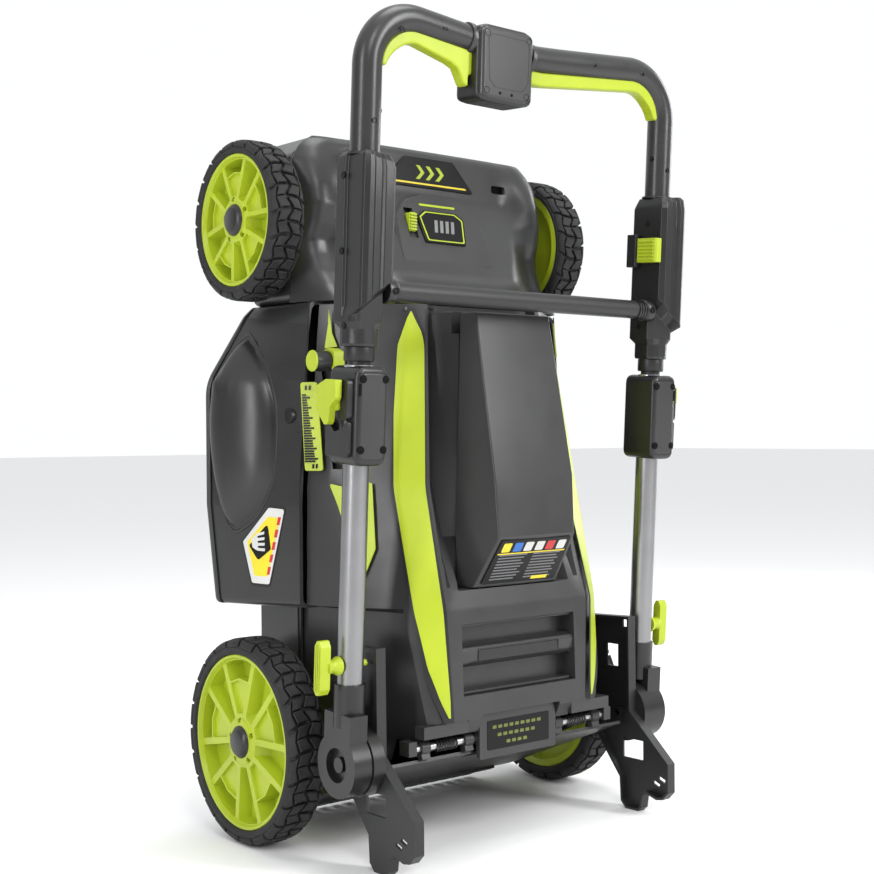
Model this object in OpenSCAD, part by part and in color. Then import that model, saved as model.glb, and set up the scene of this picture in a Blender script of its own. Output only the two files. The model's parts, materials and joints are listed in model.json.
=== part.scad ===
// Battery lawn mower standing upright in its storage position.
// Front of the mower up, rear down, deck top facing -Y, handle folded over the deck.
// Parts are drawn in working axes (x right, y forward, z up, rear axle at the origin)
// and then stood on the rear wheels and the two bracket feet.

/* [Wheels] */
// rear wheel radius
rear_r = 127; // [115:1:140]
// front wheel radius
front_r = 100; // [90:1:115]
// rear rim radius
rear_rim_r = 107; // [95:1:115]
// front rim radius
front_rim_r = 82; // [74:1:90]
// rear wheel outer face from the middle
rear_face_x = 268; // [262:1:272]
// front wheel outer face from the middle
front_face_x = 255; // [253:1:262]
// rear wheel width
rear_w = 50; // [44:1:50]
// front wheel width
front_w = 46; // [40:1:46]
// distance between the axles
wheelbase = 644; // [640:1:655]

/* [Deck] */
// deck shell wall
wall = 4; // [3:0.5:5]
// bottom edge of the skirt below the rear axle
skirt_z = -66; // [-76:1:-62]
// cutting blade length
blade_len = 500; // [480:1:502]
// blade spindle position ahead of the rear axle
spindle_y = 335; // [330:1:340]
// top cowl wall
cowl_t = 3.5; // [3:0.5:4.5]

/* [Handle] */
// handle pivot height above the rear axle
pivot_z = 190; // [186:1:194]
// lean of the folded handle away from the deck, degrees
lean = 3.55; // [3:0.05:4.5]
// handle tube distance from the middle
tube_x = 235; // [233:1:238]
// lower tube outer radius
tube_r = 15; // [14:0.5:16]
// upper tube outer radius
inner_r = 12.9; // [12:0.1:12.9]
// grip tube radius
grip_r = 17; // [15:0.5:17]
// top of the U grip corners along the handle
grip_top = 868; // [862:1:872]
// dip of the cross tube at its middle
grip_dip = 15.5; // [12:0.5:17]

/* [Hidden] */
stand_y = 78.5;
front_z = front_r - rear_r;
axle_r = 8;
axle_c = 8.05;
eps = 0.01;
bend_s = grip_top - grip_r - 60;
dip_a = atan(grip_dip / 170);
bend_x = tube_x - 60;
wing_x = bend_x - 60 * sin(dip_a);
mid_s = bend_s + 60 * cos(dip_a) - wing_x * tan(dip_a);
lime = [0.78, 0.86, 0.16];
grey = [0.34, 0.35, 0.36];
dark = [0.16, 0.165, 0.17];
black = [0.07, 0.07, 0.075];
light = [0.55, 0.56, 0.57];
steel = [0.70, 0.71, 0.72];

// stands the working axes up: forward becomes up
module stand() {
  translate([0, stand_y, rear_r]) rotate([90, 0, 0]) children();
}

// handle axes: y runs along the tubes from the pivot
module handle() {
  stand() translate([0, 0, pivot_z]) rotate([lean, 0, 0]) children();
}

// left side as drawn, right side mirrored
module side(s) {
  if (s < 0) children();
  else mirror([1, 0, 0]) children();
}

// a cylinder along x from x0 to x1
module xcyl(x0, x1, r) {
  translate([x0, 0, 0]) rotate([0, 90, 0]) cylinder(r = r, h = x1 - x0);
}

// a cylinder along y from y0 to y1
module ycyl(y0, y1, r) {
  translate([0, y0, 0]) rotate([-90, 0, 0]) cylinder(r = r, h = y1 - y0);
}

// thin slab of a cross-section at y
module slab(y) {
  translate([0, y, 0]) rotate([90, 0, 0]) linear_extrude(0.2) children();
}

module box(a, b) {
  translate(a) cube(b - a);
}

// ---------- deck ----------
module plan_low(d) {
  offset(delta = -d) polygon([[-270, 290], [-270, 442], [-216, 528], [-203, 540.6],
    [203, 540.6], [216, 528], [270, 442], [270, 290], [258, 165], [-258, 165]]);
}

module plan_high(d) {
  offset(delta = -d) polygon([[-216, 165], [-216, 500], [-200, 540.6], [200, 540.6], [216, 500], [216, 165]]);
}

module nose_plan(d) {
  offset(delta = -d) polygon([[-203, 540], [-200, 725], [-170, 752], [170, 752], [200, 725], [203, 540]]);
}

module rear_plan(d) {
  offset(delta = -d) polygon([[-195, 170], [-195, -50], [-170, -74], [170, -74], [195, -50], [195, 170]]);
}

module main_frustum(d, z0, z1) {
  intersection() {
    hull() {
      translate([0, 0, skirt_z]) linear_extrude(0.2) plan_low(d);
      translate([0, 0, 61.8]) linear_extrude(0.2) plan_high(d);
    }
    box([-300, 100, z0], [300, 600, z1]);
  }
}

// smooth bulge along each side of the skirt
module side_bulge(r) {
  for (s = [-1, 1]) translate([s * 228, 0, -10]) {
    ycyl(318, 438, r);
    translate([0, 318, 0]) sphere(r = r, $fn = 40);
    translate([0, 438, 0]) sphere(r = r, $fn = 40);
  }
}

module deck_shell() {
  color(dark) stand() difference() {
    union() {
      main_frustum(0, skirt_z, 62);
      side_bulge(40);
      translate([0, 0, skirt_z]) linear_extrude(20 - skirt_z) nose_plan(0);
      translate([0, 0, skirt_z]) linear_extrude(20 - skirt_z) rear_plan(0);
    }
    // blade chamber, front pocket and rear chute below the ceiling
    main_frustum(wall, skirt_z - 1, 16);
    translate([0, 0, skirt_z - 1]) linear_extrude(82) nose_plan(wall);
    translate([0, 0, skirt_z - 1]) linear_extrude(82) rear_plan(wall);
    // space above the ceiling
    main_frustum(wall, 20, 63);
    // motor spindle, chute opening and bolt holes in the ceiling
    translate([0, spindle_y, 10]) cylinder(r = 34, h = 20);
    box([-120, -60, 10], [120, 120, 25]);
    for (a = [45:90:315]) translate([0, spindle_y, 10]) rotate([0, 0, a]) translate([46, 0, 0])
      cylinder(r = 4.2, h = 20);
    // axle holes
    xcyl(-210, 210, axle_r + 0.02);
    translate([0, wheelbase, front_z]) xcyl(-210, 210, axle_r + 0.02);
    // open rear end of the chute
    box([-150, -90, skirt_z + 20], [150, -50, 25]);
    label_slab();
    // path of the blade through the front and rear walls, and the chute mouth
    box([-152, 530, skirt_z - 1], [152, 546, -30]);
    box([-191, 160, skirt_z - 1], [191, 174, -30]);
    box([-150, 160, -31], [150, 174, 14]);
  }
  // curved baffle in front of the blade
  color(dark) stand() translate([0, spindle_y, skirt_z]) intersection() {
    difference() {
      cylinder(r = 260, h = 83);
      translate([0, 0, -1]) cylinder(r = 256, h = 85);
    }
    box([-158, 200, 0], [158, 265, 83]);
  }
  // pin of the height lever
  color(dark) stand() translate([0, 400, 45]) {
    xcyl(-221, -188, 9);
    xcyl(-188.1, -180, 4);
  }
}

// ---------- cowl ----------
module sec(y, d, bx, bz, ex, ez, ox, oz, ix, iz) {
  slab(y) offset(delta = -d) polygon([[-bx, bz], [-ex, ez], [-ox, oz], [-ix, iz],
    [ix, iz], [ox, oz], [ex, ez], [bx, bz]]);
}

module hood_front(d, y0) {
  hull() {
    sec(y0, d, 200, 62, 120, 138, 112, 146, 96, 156);
    sec(313, d, 216, 62, 152, 156, 144, 166, 112, 180);
  }
}

module hood_mid(d) {
  hull() {
    sec(313.2, d, 216, 62, 152, 156, 144, 166, 112, 180);
    sec(165, d, 216, 62, 154, 187, 146, 199, 117, 223);
  }
}

module hood_rear(d) {
  hull() {
    sec(165, d, 195, 20, 154, 187, 146, 199, 117, 223);
    sec(33, d, 195, 20, 142, 216, 134, 222, 110, 228);
    sec(2, d, 195, 20, 142, 205, 134, 210, 110, 211);
    sec(-73, d, 195, 20, 190, 21, 180, 22, 170, 23);
  }
}

module nose_a(d) {
  hull() {
    sec(541, d, 202, 20, 175, 62, 150, 110, 110, 146);
    sec(600, d, 202, 20, 175, 52, 150, 72, 120, 86);
  }
}

module nose_b(d) {
  hull() {
    sec(599.8, d, 202, 20, 175, 52, 150, 72, 120, 86);
    sec(700, d, 201, 20, 180, 40, 165, 46, 130, 48);
  }
}

module nose_c(d) {
  hull() {
    sec(699.8, d, 201, 20, 180, 40, 165, 46, 130, 48);
    sec(738, d, 186, 20, 175, 32, 160, 38, 130, 41);
    sec(753, d, 168, 20, 162, 26, 154, 32, 130, 34);
  }
}

module hump(d) {
  hull() {
    slab(526) offset(delta = -d) polygon([[-86, 140], [-60, 212], [60, 212], [86, 140]]);
    slab(325) offset(delta = -d) polygon([[-90, 150], [-64, 250], [64, 250], [90, 150]]);
    slab(252) offset(delta = -d) polygon([[-90, 150], [-62, 255], [62, 255], [90, 150]]);
    slab(190) offset(delta = -d) polygon([[-94, 150], [-68, 213], [68, 213], [94, 150]]);
  }
}

// pocket the battery lid sits in
module lid_pocket() {
  intersection() {
    hump(-0.6);
    box([-120, 189, 189.4], [120, 540, 300]);
  }
}

module stripe(z_in, z_out) {
  // front, middle and rear runs of one stripe on the left side
  hull() {
    slab(516) polygon([[-114, 147 - z_in], [-113, 148 + z_out], [-101, 154 + z_out], [-100, 153 - z_in]]);
    slab(460) polygon([[-122, 153.5 - z_in], [-121, 154.7 + z_out], [-102, 163.2 + z_out], [-101, 162 - z_in]]);
    slab(313.2) polygon([[-143, 165.5 - z_in], [-142, 167 + z_out], [-114, 179.4 + z_out], [-113, 179 - z_in]]);
  }
  hull() {
    slab(313.4) polygon([[-143, 165.5 - z_in], [-142, 167 + z_out], [-114, 179.4 + z_out], [-113, 179 - z_in]]);
    slab(165.2) polygon([[-145, 198.5 - z_in], [-144, 200.5 + z_out], [-119, 221.4 + z_out], [-118, 220 - z_in]]);
  }
  hull() {
    slab(165.4) polygon([[-145, 198.5 - z_in], [-144, 200.5 + z_out], [-119, 221.4 + z_out], [-118, 220 - z_in]]);
    slab(62) polygon([[-136, 216 - z_in], [-135, 217.5 + z_out], [-113, 226 + z_out], [-112, 225 - z_in]]);
  }
}

// lime panels on the slope beside the stripes
module accent() {
  hull() {
    slab(310) polygon([[-199, 87], [-197, 92.5], [-160, 146], [-158, 142]]);
    slab(205) polygon([[-195, 96.5], [-193, 102], [-164, 160.5], [-161, 156]]);
  }
  hull() {
    slab(532) polygon([[-181, 80.8], [-180.3, 82.8], [-178.3, 84.8], [-177, 82]]);
    slab(482) polygon([[-188, 81], [-187, 84.4], [-168, 105.8], [-166, 103]]);
  }
}

// height scale plate low on the left slope
module scale_slab() {
  hull() {
    slab(440) polygon([[-208, 66.5], [-206.5, 70.5], [-191, 91.2], [-189, 88.5]]);
    slab(333) polygon([[-212.5, 63.5], [-211, 69], [-194.5, 93.5], [-192.5, 90.5]]);
  }
}

// five-sided plate on the left skirt wall
module label_slab() {
  translate([-241.2, 238, -4]) rotate([0, 0, 2.7]) rotate([0, -67.2, 0]) translate([0, 0, -2.4])
    linear_extrude(3.4) polygon([[58, 50], [28, 52], [-37, 4], [-10, -49], [17, -50]]);
}

module badge_slab(z0) {
  translate([0, 0, 37]) linear_extrude(z0 - 37) polygon([[-76, 702], [76, 702], [40, 742], [-40, 742]]);
}

module plate_slab(z0, d) {
  translate([0, 646, 65]) rotate([-20.8, 0, 0])
    linear_extrude(z0) offset(delta = d) polygon([[-33, -24], [33, -24], [39, 14], [27, 23], [-27, 23], [-39, 14]]);
}

module top_cowl() {
  color(grey) stand() difference() {
    union() {
      hood_front(0, 541);
      hood_mid(0);
      hood_rear(0);
      nose_a(0);
      nose_b(0);
      nose_c(0);
      intersection() {
        hump(0);
        box([-120, 186, 130], [120, 530, 189.4]);
      }
      // bosses the handle brackets bolt to
      for (s = [-1, 1]) side(s) {
        translate([0, 105, 148]) xcyl(-207, -150, 9);
        translate([0, 28, 144]) xcyl(-207, -150, 9);
      }
    }
    // hollow inside
    hull() {
      sec(546, cowl_t, 200, 58, 120, 138, 112, 146, 96, 156);
      sec(313, cowl_t, 216, 58, 152, 156, 144, 166, 112, 180);
    }
    hull() {
      sec(313.4, cowl_t, 216, 58, 152, 156, 144, 166, 112, 180);
      sec(165, cowl_t, 216, 58, 154, 187, 146, 199, 117, 223);
    }
    hull() {
      sec(172, cowl_t, 195, 16, 154, 187, 146, 199, 117, 223);
      sec(33, cowl_t, 195, 16, 142, 216, 134, 222, 110, 228);
      sec(8, cowl_t, 195, 16, 142, 205, 134, 210, 110, 214);
      sec(-69, cowl_t, 195, 16, 188, 22, 180, 24, 170, 26);
    }
    hull() {
      sec(540, cowl_t, 202, 16, 175, 62, 150, 110, 110, 146);
      sec(600, cowl_t, 202, 16, 175, 52, 150, 72, 120, 86);
    }
    hull() {
      sec(600.2, cowl_t, 202, 16, 175, 52, 150, 72, 120, 86);
      sec(700, cowl_t, 201, 16, 180, 40, 165, 46, 130, 48);
      sec(736, cowl_t, 186, 16, 175, 32, 160, 36, 130, 38);
    }
    intersection() {
      hump(cowl_t);
      box([-120, 150, 100], [120, 522, 195]);
    }
    lid_pocket();
    // relief for the lid hinge
    box([-70, 500, 176], [70, 540, 230]);
    // chute mouth behind the rear door
    box([-150, -80, 24], [150, 12, 188]);
    // pocket for the carry bar
    box([-91, 62, 190], [91, 148, 240]);
    // badge, plate, button, lever slot and label seats
    badge_slab(60);
    plate_slab(12, 0.02);
    box([-55.3, 637.7, 55], [-42.7, 663.3, 90]);
    box([-188.6, 335, 66], [-181.4, 478, 135]);
    stripe(4, 1);
    mirror([1, 0, 0]) stripe(4, 1);
    accent();
    mirror([1, 0, 0]) accent();
    scale_slab();
    box([-62, -30, 206], [62, 37, 240]);
    box([-168, -30, 192], [168, 16, 240]);
    for (s = [-1, 1]) translate([s * 117, 25.5, 214]) cube([66, 15, 20], center = true);
  }
}

module stripes() {
  color(lime) stand() for (s = [-1, 1]) side(s) stripe(4, 1);
}

module accents() {
  color(lime) stand() for (s = [-1, 1]) side(s) accent();
}

module height_scale() {
  color(lime) stand() scale_slab();
}

module side_label() {
  color([0.93, 0.86, 0.25]) stand() label_slab();
}

module front_badge() {
  color(black) stand() badge_slab(40.5);
}

module nose_plate() {
  color(black) stand() plate_slab(5, 0);
}

module hood_button() {
  color(lime) stand() union() {
    box([-54.9, 638.1, 60], [-43.1, 662.9, 70]);
    for (i = [0:5]) box([-54, 640 + i * 3.8, 70], [-44, 642 + i * 3.8, 73]);
  }
}

module rear_cover() {
  color(grey) stand() difference() {
    union() {
      box([-62, -20, 209], [62, 36.8, 216]);
      box([-62, -1, 192], [62, 15.8, 209]);
    }
    for (s = [-1, 1]) translate([s * 60, 5, 203]) xcyl(-4.05, 4.05, 5.02);
  }
}

module carry_bar() {
  color(dark) stand() union() {
    box([-90.8, 96, 203], [90.8, 120, 217]);
    box([-60, 101, 217], [60, 115, 218.5]);
    difference() {
      box([-94, 59, 186], [94, 151, 190]);
      box([-10, 90, 180], [10, 96, 200]);
    }
    for (s = [-1, 1]) translate([s * 87, 108, 196]) cube([7.4, 24, 14], center = true);
  }
}

module hinge_rods() {
  color(steel) stand() for (s = [-1, 1]) translate([0, 5, 203])
    xcyl(s > 0 ? 56 : -158, s > 0 ? 158 : -56, 5);
}

module hinge_blocks() {
  color(light) stand() for (s = [-1, 1]) {
    translate([s * 117, 25.5, 213]) cube([65.6, 14.6, 18], center = true);
    difference() {
      translate([s * 158, 7, 201.5]) cube([11.6, 17, 19], center = true);
      translate([0, 5, 203]) xcyl(-158.05, 158.05, 5.02);
    }
  }
}

module door_springs() {
  color(steel) stand() for (s = [-1, 1]) for (i = [0:6]) translate([s * (92 + i * 4.5), 5, 203])
    rotate([0, 90, 0]) rotate_extrude($fn = 24) translate([7, 0]) circle(r = 1.2, $fn = 6);
}

module battery_tray() {
  color(black) stand() difference() {
    union() {
      box([-46, 376, 98], [46, 508, 168]);
      box([-16, 312, 138], [16, 330, 166]);
      box([-16, 330, 138], [16, 377, 146]);
      for (s = [-1, 1]) translate([s * 42, 470, 60]) cube([8, 60, 80], center = true);
    }
    box([-42.5, 380, 101], [42.5, 504, 170]);
    for (s = [-1, 1]) translate([s * 30, 442, 96]) cylinder(r = 3, h = 8);
    box([-5.6, 318.4, 141], [5.6, 323.6, 168]);
  }
}

module battery_contacts() {
  color([0.85, 0.65, 0.2]) stand() for (i = [-2:2]) box([i * 9 - 0.8, 400, 101], [i * 9 + 0.8, 430, 104.5]);
}

module motor_can() {
  color([0.22, 0.23, 0.25]) stand() translate([0, spindle_y, 0]) difference() {
    union() {
      translate([0, 0, 24]) cylinder(r = 52, h = 68);
      for (a = [0:30:330]) rotate([0, 0, a]) translate([51, -2, 28]) cube([6, 4, 56]);
    }
    translate([0, 0, 20]) cylinder(r = 46, h = 66);
    translate([0, 0, 80]) cylinder(r = 10.05, h = 20);
    for (a = [45:90:315]) rotate([0, 0, a]) translate([46, 0, 10]) cylinder(r = 4.2, h = 26);
  }
}

module motor_plate() {
  color(steel) stand() translate([0, spindle_y, 20]) difference() {
    cylinder(r = 66, h = 4);
    translate([0, 0, -1]) cylinder(r = 10.05, h = 6);
    for (a = [45:90:315]) rotate([0, 0, a]) translate([46, 0, -1]) cylinder(r = 3.05, h = 6);
  }
}

module controller() {
  color(black) stand() union() {
    box([-60, 204, 20], [60, 264, 62]);
    for (i = [-5:5]) box([i * 10 - 1.5, 206, 62], [i * 10 + 1.5, 262, 72]);
  }
}

module drive_unit() {
  color([0.2, 0.2, 0.21]) stand() difference() {
    union() {
      xcyl(-52, 52, 30);
      translate([36, 34, 0]) xcyl(-30, 30, 22);
      box([-20, -12, 24], [20, 30, 40]);
    }
    xcyl(-60, 60, axle_r + 0.02);
  }
}

module front_axle() {
  color(steel) stand() translate([0, wheelbase, front_z]) union() {
    xcyl(-(front_face_x - 6), front_face_x - 6, axle_r);
    for (s = [-1, 1]) xcyl(s > 0 ? 190 : -194, s > 0 ? 194 : -190, 14);
  }
}

module rear_axle() {
  color(steel) stand() union() {
    xcyl(-(rear_face_x - 6), rear_face_x - 6, axle_r);
    for (s = [-1, 1]) xcyl(s > 0 ? 186 : -190, s > 0 ? 190 : -186, 14);
  }
}

// ---------- storage bracket ----------
module bracket_outline(d) {
  offset(delta = -d) polygon([[131, 212], [128, 134], [40, 122], [-20, 140], [-43, 158], [-86, 194],
    [-118, 196], [-127, 205], [-127, 228], [-122, 234], [-105, 237], [-101, 244], [-106, 262],
    [-104, 274], [-94, 284], [-56, 284], [5, 213]]);
}

module bracket() {
  // outline drawn in (y, z); web on the outside, flange turned inward
  translate([-210, 0, 0]) rotate([90, 0, 90]) difference() {
    linear_extrude(13) bracket_outline(0);
    translate([0, 0, 3]) linear_extrude(12) bracket_outline(3);
    translate([0, 0, -1]) linear_extrude(20) {
      translate([-61, 191]) square([26, 38]);
      translate([60, 160]) square([30, 22]);
      translate([-88, 247]) rotate(20) square([5, 12]);
      translate([-81, 257]) rotate(20) square([5, 12]);
      translate([115, 191]) square([10, 14]);
    }
    translate([0, pivot_z, -1]) cylinder(r = 6, h = 20);
  }
}

module brackets() {
  color(black) stand() for (s = [-1, 1]) side(s) bracket();
}

module pivot_disc() {
  translate([0, 0, pivot_z]) difference() {
    union() {
      xcyl(-226, -210, 40);
      xcyl(-211, -196, 6);
    }
    xcyl(-227, -217, 31);
    xcyl(-230, -190, 4.02);
  }
}

module pivot_discs() {
  color(dark) stand() for (s = [-1, 1]) side(s) pivot_disc();
}

module deck_screws() {
  color(steel) stand() for (a = [45:90:315]) translate([0, spindle_y, 0]) rotate([0, 0, a])
    translate([46, 0, 0]) union() {
      translate([0, 0, 12]) cylinder(r = 6, h = 4);
      translate([0, 0, 16]) cylinder(r = 3, h = 14);
    }
}

// ---------- battery bay ----------
module battery_lid() {
  color(grey) stand() union() {
    difference() {
      intersection() {
        hump(0);
        box([-120, 180, 190], [120, 540, 300]);
      }
      intersection() {
        hump(3);
        box([-120, 193, 180], [120, 523, 300]);
      }
      label_cut();
    }
    difference() {
      for (s = [-1, 1]) translate([s * 40, 518, 196]) xcyl(-12, 12, 6);
      translate([0, 518, 196]) xcyl(-60, 60, 3.05);
    }
  }
}

// sloping panel at the rear end of the lid
module label_cut() {
  hull() {
    slab(246) polygon([[-58, 252.2], [-58, 258], [58, 258], [58, 252.2]]);
    slab(196) polygon([[-62, 217], [-62, 222], [62, 222], [62, 217]]);
  }
}

module lid_label() {
  color(black) stand() hull() {
    slab(245.8) polygon([[-57.8, 252.4], [-57.8, 253.6], [57.8, 253.6], [57.8, 252.4]]);
    slab(196.4) polygon([[-61.8, 217.4], [-61.8, 218.6], [61.8, 218.6], [61.8, 217.4]]);
  }
}

module battery_pack() {
  color([0.25, 0.26, 0.27]) stand() difference() {
    union() {
      box([-41, 382, 105], [41, 500, 184]);
      box([-34, 388, 184], [34, 494, 192]);
    }
    box([-22, 400, 104], [-2, 432, 109]);
    box([-28, 399, 103], [28, 431, 106]);
    box([-20, 404, 186], [20, 440, 193]);
  }
}

module battery_latch() {
  color(lime) stand() box([-14, 470, 192.2], [14, 492, 197]);
}

module safety_key() {
  color(lime) stand() union() {
    box([-12, 318, 168], [12, 324, 196]);
    box([-5, 319, 142], [5, 323, 168]);
  }
}

// ---------- rear door ----------
// door axes: y up along the door, z outward
module door_axes() {
  stand() translate([0, -6, 205]) rotate([68.62, 0, 0]) children();
}

module rear_door() {
  color(grey) door_axes() difference() {
    union() {
      box([-188, -250, 1.5], [188, -2, 5.5]);
      for (s = [-1, 1]) box([s * 188 - 2, -246, -4], [s * 188 + 2, -30, 5.5]);
      box([-150, -250, 5.5], [150, -238, 9]);
      for (s = [-1, 1]) translate([s * 73, 2.15, -10.97]) {
        xcyl(-6, 6, 8.5);
        translate([0, -2, 7]) cube([12, 10, 14], center = true);
      }
      for (s = [-1, 1]) translate([s * 138, 2.15, -10.97]) {
        xcyl(-6, 6, 8.5);
        translate([0, -2, 7]) cube([12, 10, 14], center = true);
      }
    }
    translate([0, 2.15, -10.97]) xcyl(-200, 200, 5.05);
    // relief under the rear cover
    box([-64, -30, 0], [64, 0, 7]);
  }
}

module trailing_skirt() {
  color(black) door_axes() union() {
    box([-160, -276, 1.5], [160, -250, 5.5]);
    for (i = [-8:8]) box([i * 19 - 7.5, -312, 2], [i * 19 + 7.5, -276, 5]);
  }
}

// ---------- height lever ----------
module lever_arm() {
  color(black) stand() translate([-187.5, 0, 0]) rotate([90, 0, 90]) linear_extrude(5) difference() {
    union() {
      translate([400, 45]) circle(r = 9);
      translate([465, 105]) circle(r = 8);
      translate([432, 75]) rotate(42.7) square([90, 10], center = true);
    }
    translate([400, 45]) circle(r = 4.05);
  }
}

module lever_knob() {
  color(lime) stand() translate([0, 465, 105]) union() {
    xcyl(-226, -187.5, 13);
    for (a = [0:45:315]) rotate([a, 0, 0]) translate([-224, -1.5, 11]) cube([18, 3, 3.5]);
  }
}

// ---------- cutting rotor ----------
module rotor_shaft() {
  color(steel) stand() translate([0, spindle_y, 0]) union() {
    translate([0, 0, -44]) cylinder(r = 10, h = 132);
    translate([0, 0, 30]) cylinder(r = 40, h = 46);
  }
}

module blade_carrier() {
  color(dark) stand() translate([0, spindle_y, 0]) difference() {
    union() {
      translate([0, 0, -44]) cylinder(r = 31, h = 8);
      translate([0, 0, -36]) cylinder(r = 20, h = 30);
      for (a = [0:30:330]) rotate([0, 0, a]) translate([18, -1.5, -36]) cube([12, 3, 22]);
    }
    translate([0, 0, -44.1]) cylinder(r = 10, h = 50);
  }
}

module blade() {
  color(steel) stand() translate([0, spindle_y, 0]) difference() {
    union() {
      box([-blade_len / 2, -27, -48], [blade_len / 2, 27, -44.5]);
      for (a = [0, 180]) rotate([0, 0, a]) translate([blade_len / 2 - 90, 20, -46])
        rotate([28, 0, 0]) translate([0, 0, -1.6]) cube([85, 20, 3.2]);
    }
    translate([0, 0, -60]) cylinder(r = 6.02, h = 30);
  }
}

module blade_bolt() {
  color(steel) stand() translate([0, spindle_y, 0]) union() {
    translate([0, 0, -56]) cylinder(r = 11, h = 8, $fn = 6);
    translate([0, 0, -48]) cylinder(r = 6, h = 4);
  }
}

// ---------- wheels ----------
// wheel axes: x outward from the middle of the mower, 0 at the inner face of the tyre
module wheel(y, z, face, w, s) {
  stand() side(-s) translate([face - w, y, z]) children();
}

module tyre(r, rim_r, w) {
  rotate([0, 90, 0]) rotate_extrude() polygon([[rim_r, 3], [r - 8, 0], [r - 2, 3], [r, 7],
    [r, w - 7], [r - 2, w - 3], [r - 8, w], [rim_r, w - 3]]);
}

module rim(r, w, spokes) {
  rotate([0, 90, 0]) difference() {
    union() {
      rotate_extrude() polygon([[r - 9, 3], [r, 3], [r, w - 3], [r - 9, w - 5]]);
      rotate_extrude() polygon([[10, w - 22], [r - 8, w - 14], [r - 8, w - 6], [26, w - 6], [10, w - 6]]);
      cylinder(r = 24, h = w - 4);
      translate([0, 0, w - 4]) cylinder(r1 = 20, r2 = 14.5, h = 6.5);
    }
    translate([0, 0, -1]) cylinder(r = axle_c, h = w - 4);
    for (a = [0:360 / spokes:359]) rotate([0, 0, a]) translate([r * 0.42, -r * 0.17, w - 30])
      cube([r * 0.44, r * 0.34, 40]);
  }
}

module wheel_front(s) {
  wheel(wheelbase, front_z, front_face_x, front_w, s) children();
}

module wheel_rear(s) {
  wheel(0, 0, rear_face_x, rear_w, s) children();
}

module tyre_fl() {
  color(black) wheel_front(-1) tyre(front_r, front_rim_r, front_w);
}

module rim_fl() {
  color(lime) wheel_front(-1) rim(front_rim_r, front_w, 5);
}

module tyre_fr() {
  color(black) wheel_front(1) tyre(front_r, front_rim_r, front_w);
}

module rim_fr() {
  color(lime) wheel_front(1) rim(front_rim_r, front_w, 5);
}

module tyre_rl() {
  color(black) wheel_rear(-1) tyre(rear_r, rear_rim_r, rear_w);
}

module rim_rl() {
  color(lime) wheel_rear(-1) rim(rear_rim_r, rear_w, 5);
}

module tyre_rr() {
  color(black) wheel_rear(1) tyre(rear_r, rear_rim_r, rear_w);
}

module rim_rr() {
  color(lime) wheel_rear(1) rim(rear_rim_r, rear_w, 5);
}

// ---------- folding handle ----------
module handle_hubs() {
  color(dark) handle() for (s = [-1, 1]) side(s) {
    difference() {
      union() {
        xcyl(-251, -227.3, 38);
        box([-251, 0, -26], [-227.3, 60, 26]);
        translate([-tube_x, 0, 0]) ycyl(44, 93, 18);
      }
      xcyl(-252, -243, 20);
      translate([-tube_x, 0, 0]) ycyl(50, 94, tube_r);
    }
    xcyl(-245, -204, 4);
    xcyl(-248, -242.9, 9);
  }
}

module lower_tubes() {
  color(steel) handle() for (s = [-1, 1]) side(s) translate([-tube_x, 0, 0]) difference() {
    ycyl(50, 440, tube_r);
    ycyl(49, 441, inner_r + 0.08);
    translate([0, 115, 0]) xcyl(-16, 16, 4.05);
  }
}

module clamps() {
  color(dark) handle() for (s = [-1, 1]) side(s) {
    difference() {
      union() {
        box([-257, 343, -30], [-213, 456, 30]);
        box([-263, 352, -22], [-207, 447, 22]);
        translate([-258, 0, 4]) ycyl(359, 386, 10);
      }
      translate([-tube_x, 0, 0]) ycyl(342, 440, tube_r);
      translate([-tube_x, 0, 0]) ycyl(439, 457, inner_r + 0.08);
      translate([-262, 0, 14]) ycyl(387.5, 440.5, 14);
    }
    translate([-262, 0, 14]) ycyl(380, 448, 3);
    for (y = [361, 440]) for (x = [-252, -218]) translate([x, y, 30]) cylinder(r = 4, h = 1.5);
  }
}

module cam_lever() {
  difference() {
    union() {
      translate([-262, 0, 14]) ycyl(388, 440, 9);
      box([-275, 388, -24], [-264, 440, 14]);
    }
    translate([-262, 0, 14]) ycyl(380, 450, 3.05);
  }
}

module cam_lever_l() {
  color(lime) handle() cam_lever();
}

module cam_lever_r() {
  color(lime) handle() mirror([1, 0, 0]) cam_lever();
}

module tee_knob() {
  translate([0, 115, 0]) {
    box([-283, -31.5, -7], [-266, 31.5, 7]);
    xcyl(-266, -250.4, 11);
    xcyl(-260, -214, 4);
  }
}

module tee_knob_l() {
  color(lime) handle() tee_knob();
}

module tee_knob_r() {
  color(lime) handle() mirror([1, 0, 0]) tee_knob();
}

module upper_tubes() {
  color(black) handle() for (s = [-1, 1]) side(s) translate([-tube_x, 0, 0]) difference() {
    ycyl(130, 570, inner_r);
    ycyl(129, 571, 11);
  }
}

module upper_housings() {
  color(dark) handle() {
    for (s = [-1, 1]) side(s) difference() {
      union() {
        box([-257, 476, -24], [-213, 540, 20]);
        box([-257, 527, -24], [-213, 694, 36]);
        translate([-tube_x, 0, 0]) ycyl(460, 476, tube_r);
      }
      translate([-tube_x, 0, 0]) ycyl(459, 570, inner_r);
      translate([-tube_x, 0, 0]) ycyl(598, 700, grip_r + 0.06);
    }
    translate([0, 541, 13]) xcyl(-213, 213, 12);
    box([203, 598, -22], [213.5, 642, -4]);
    for (s = [-1, 1]) side(s) translate([0, 541, 13]) xcyl(-213, -199, 15);
  }
}

module speed_slider() {
  color(lime) handle() union() {
    box([202, 604, -1.6], [212.6, 636, 34]);
    for (i = [0:5]) box([200.4, 606.5 + i * 4.8, 1], [202, 609 + i * 4.8, 31]);
  }
}

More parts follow.
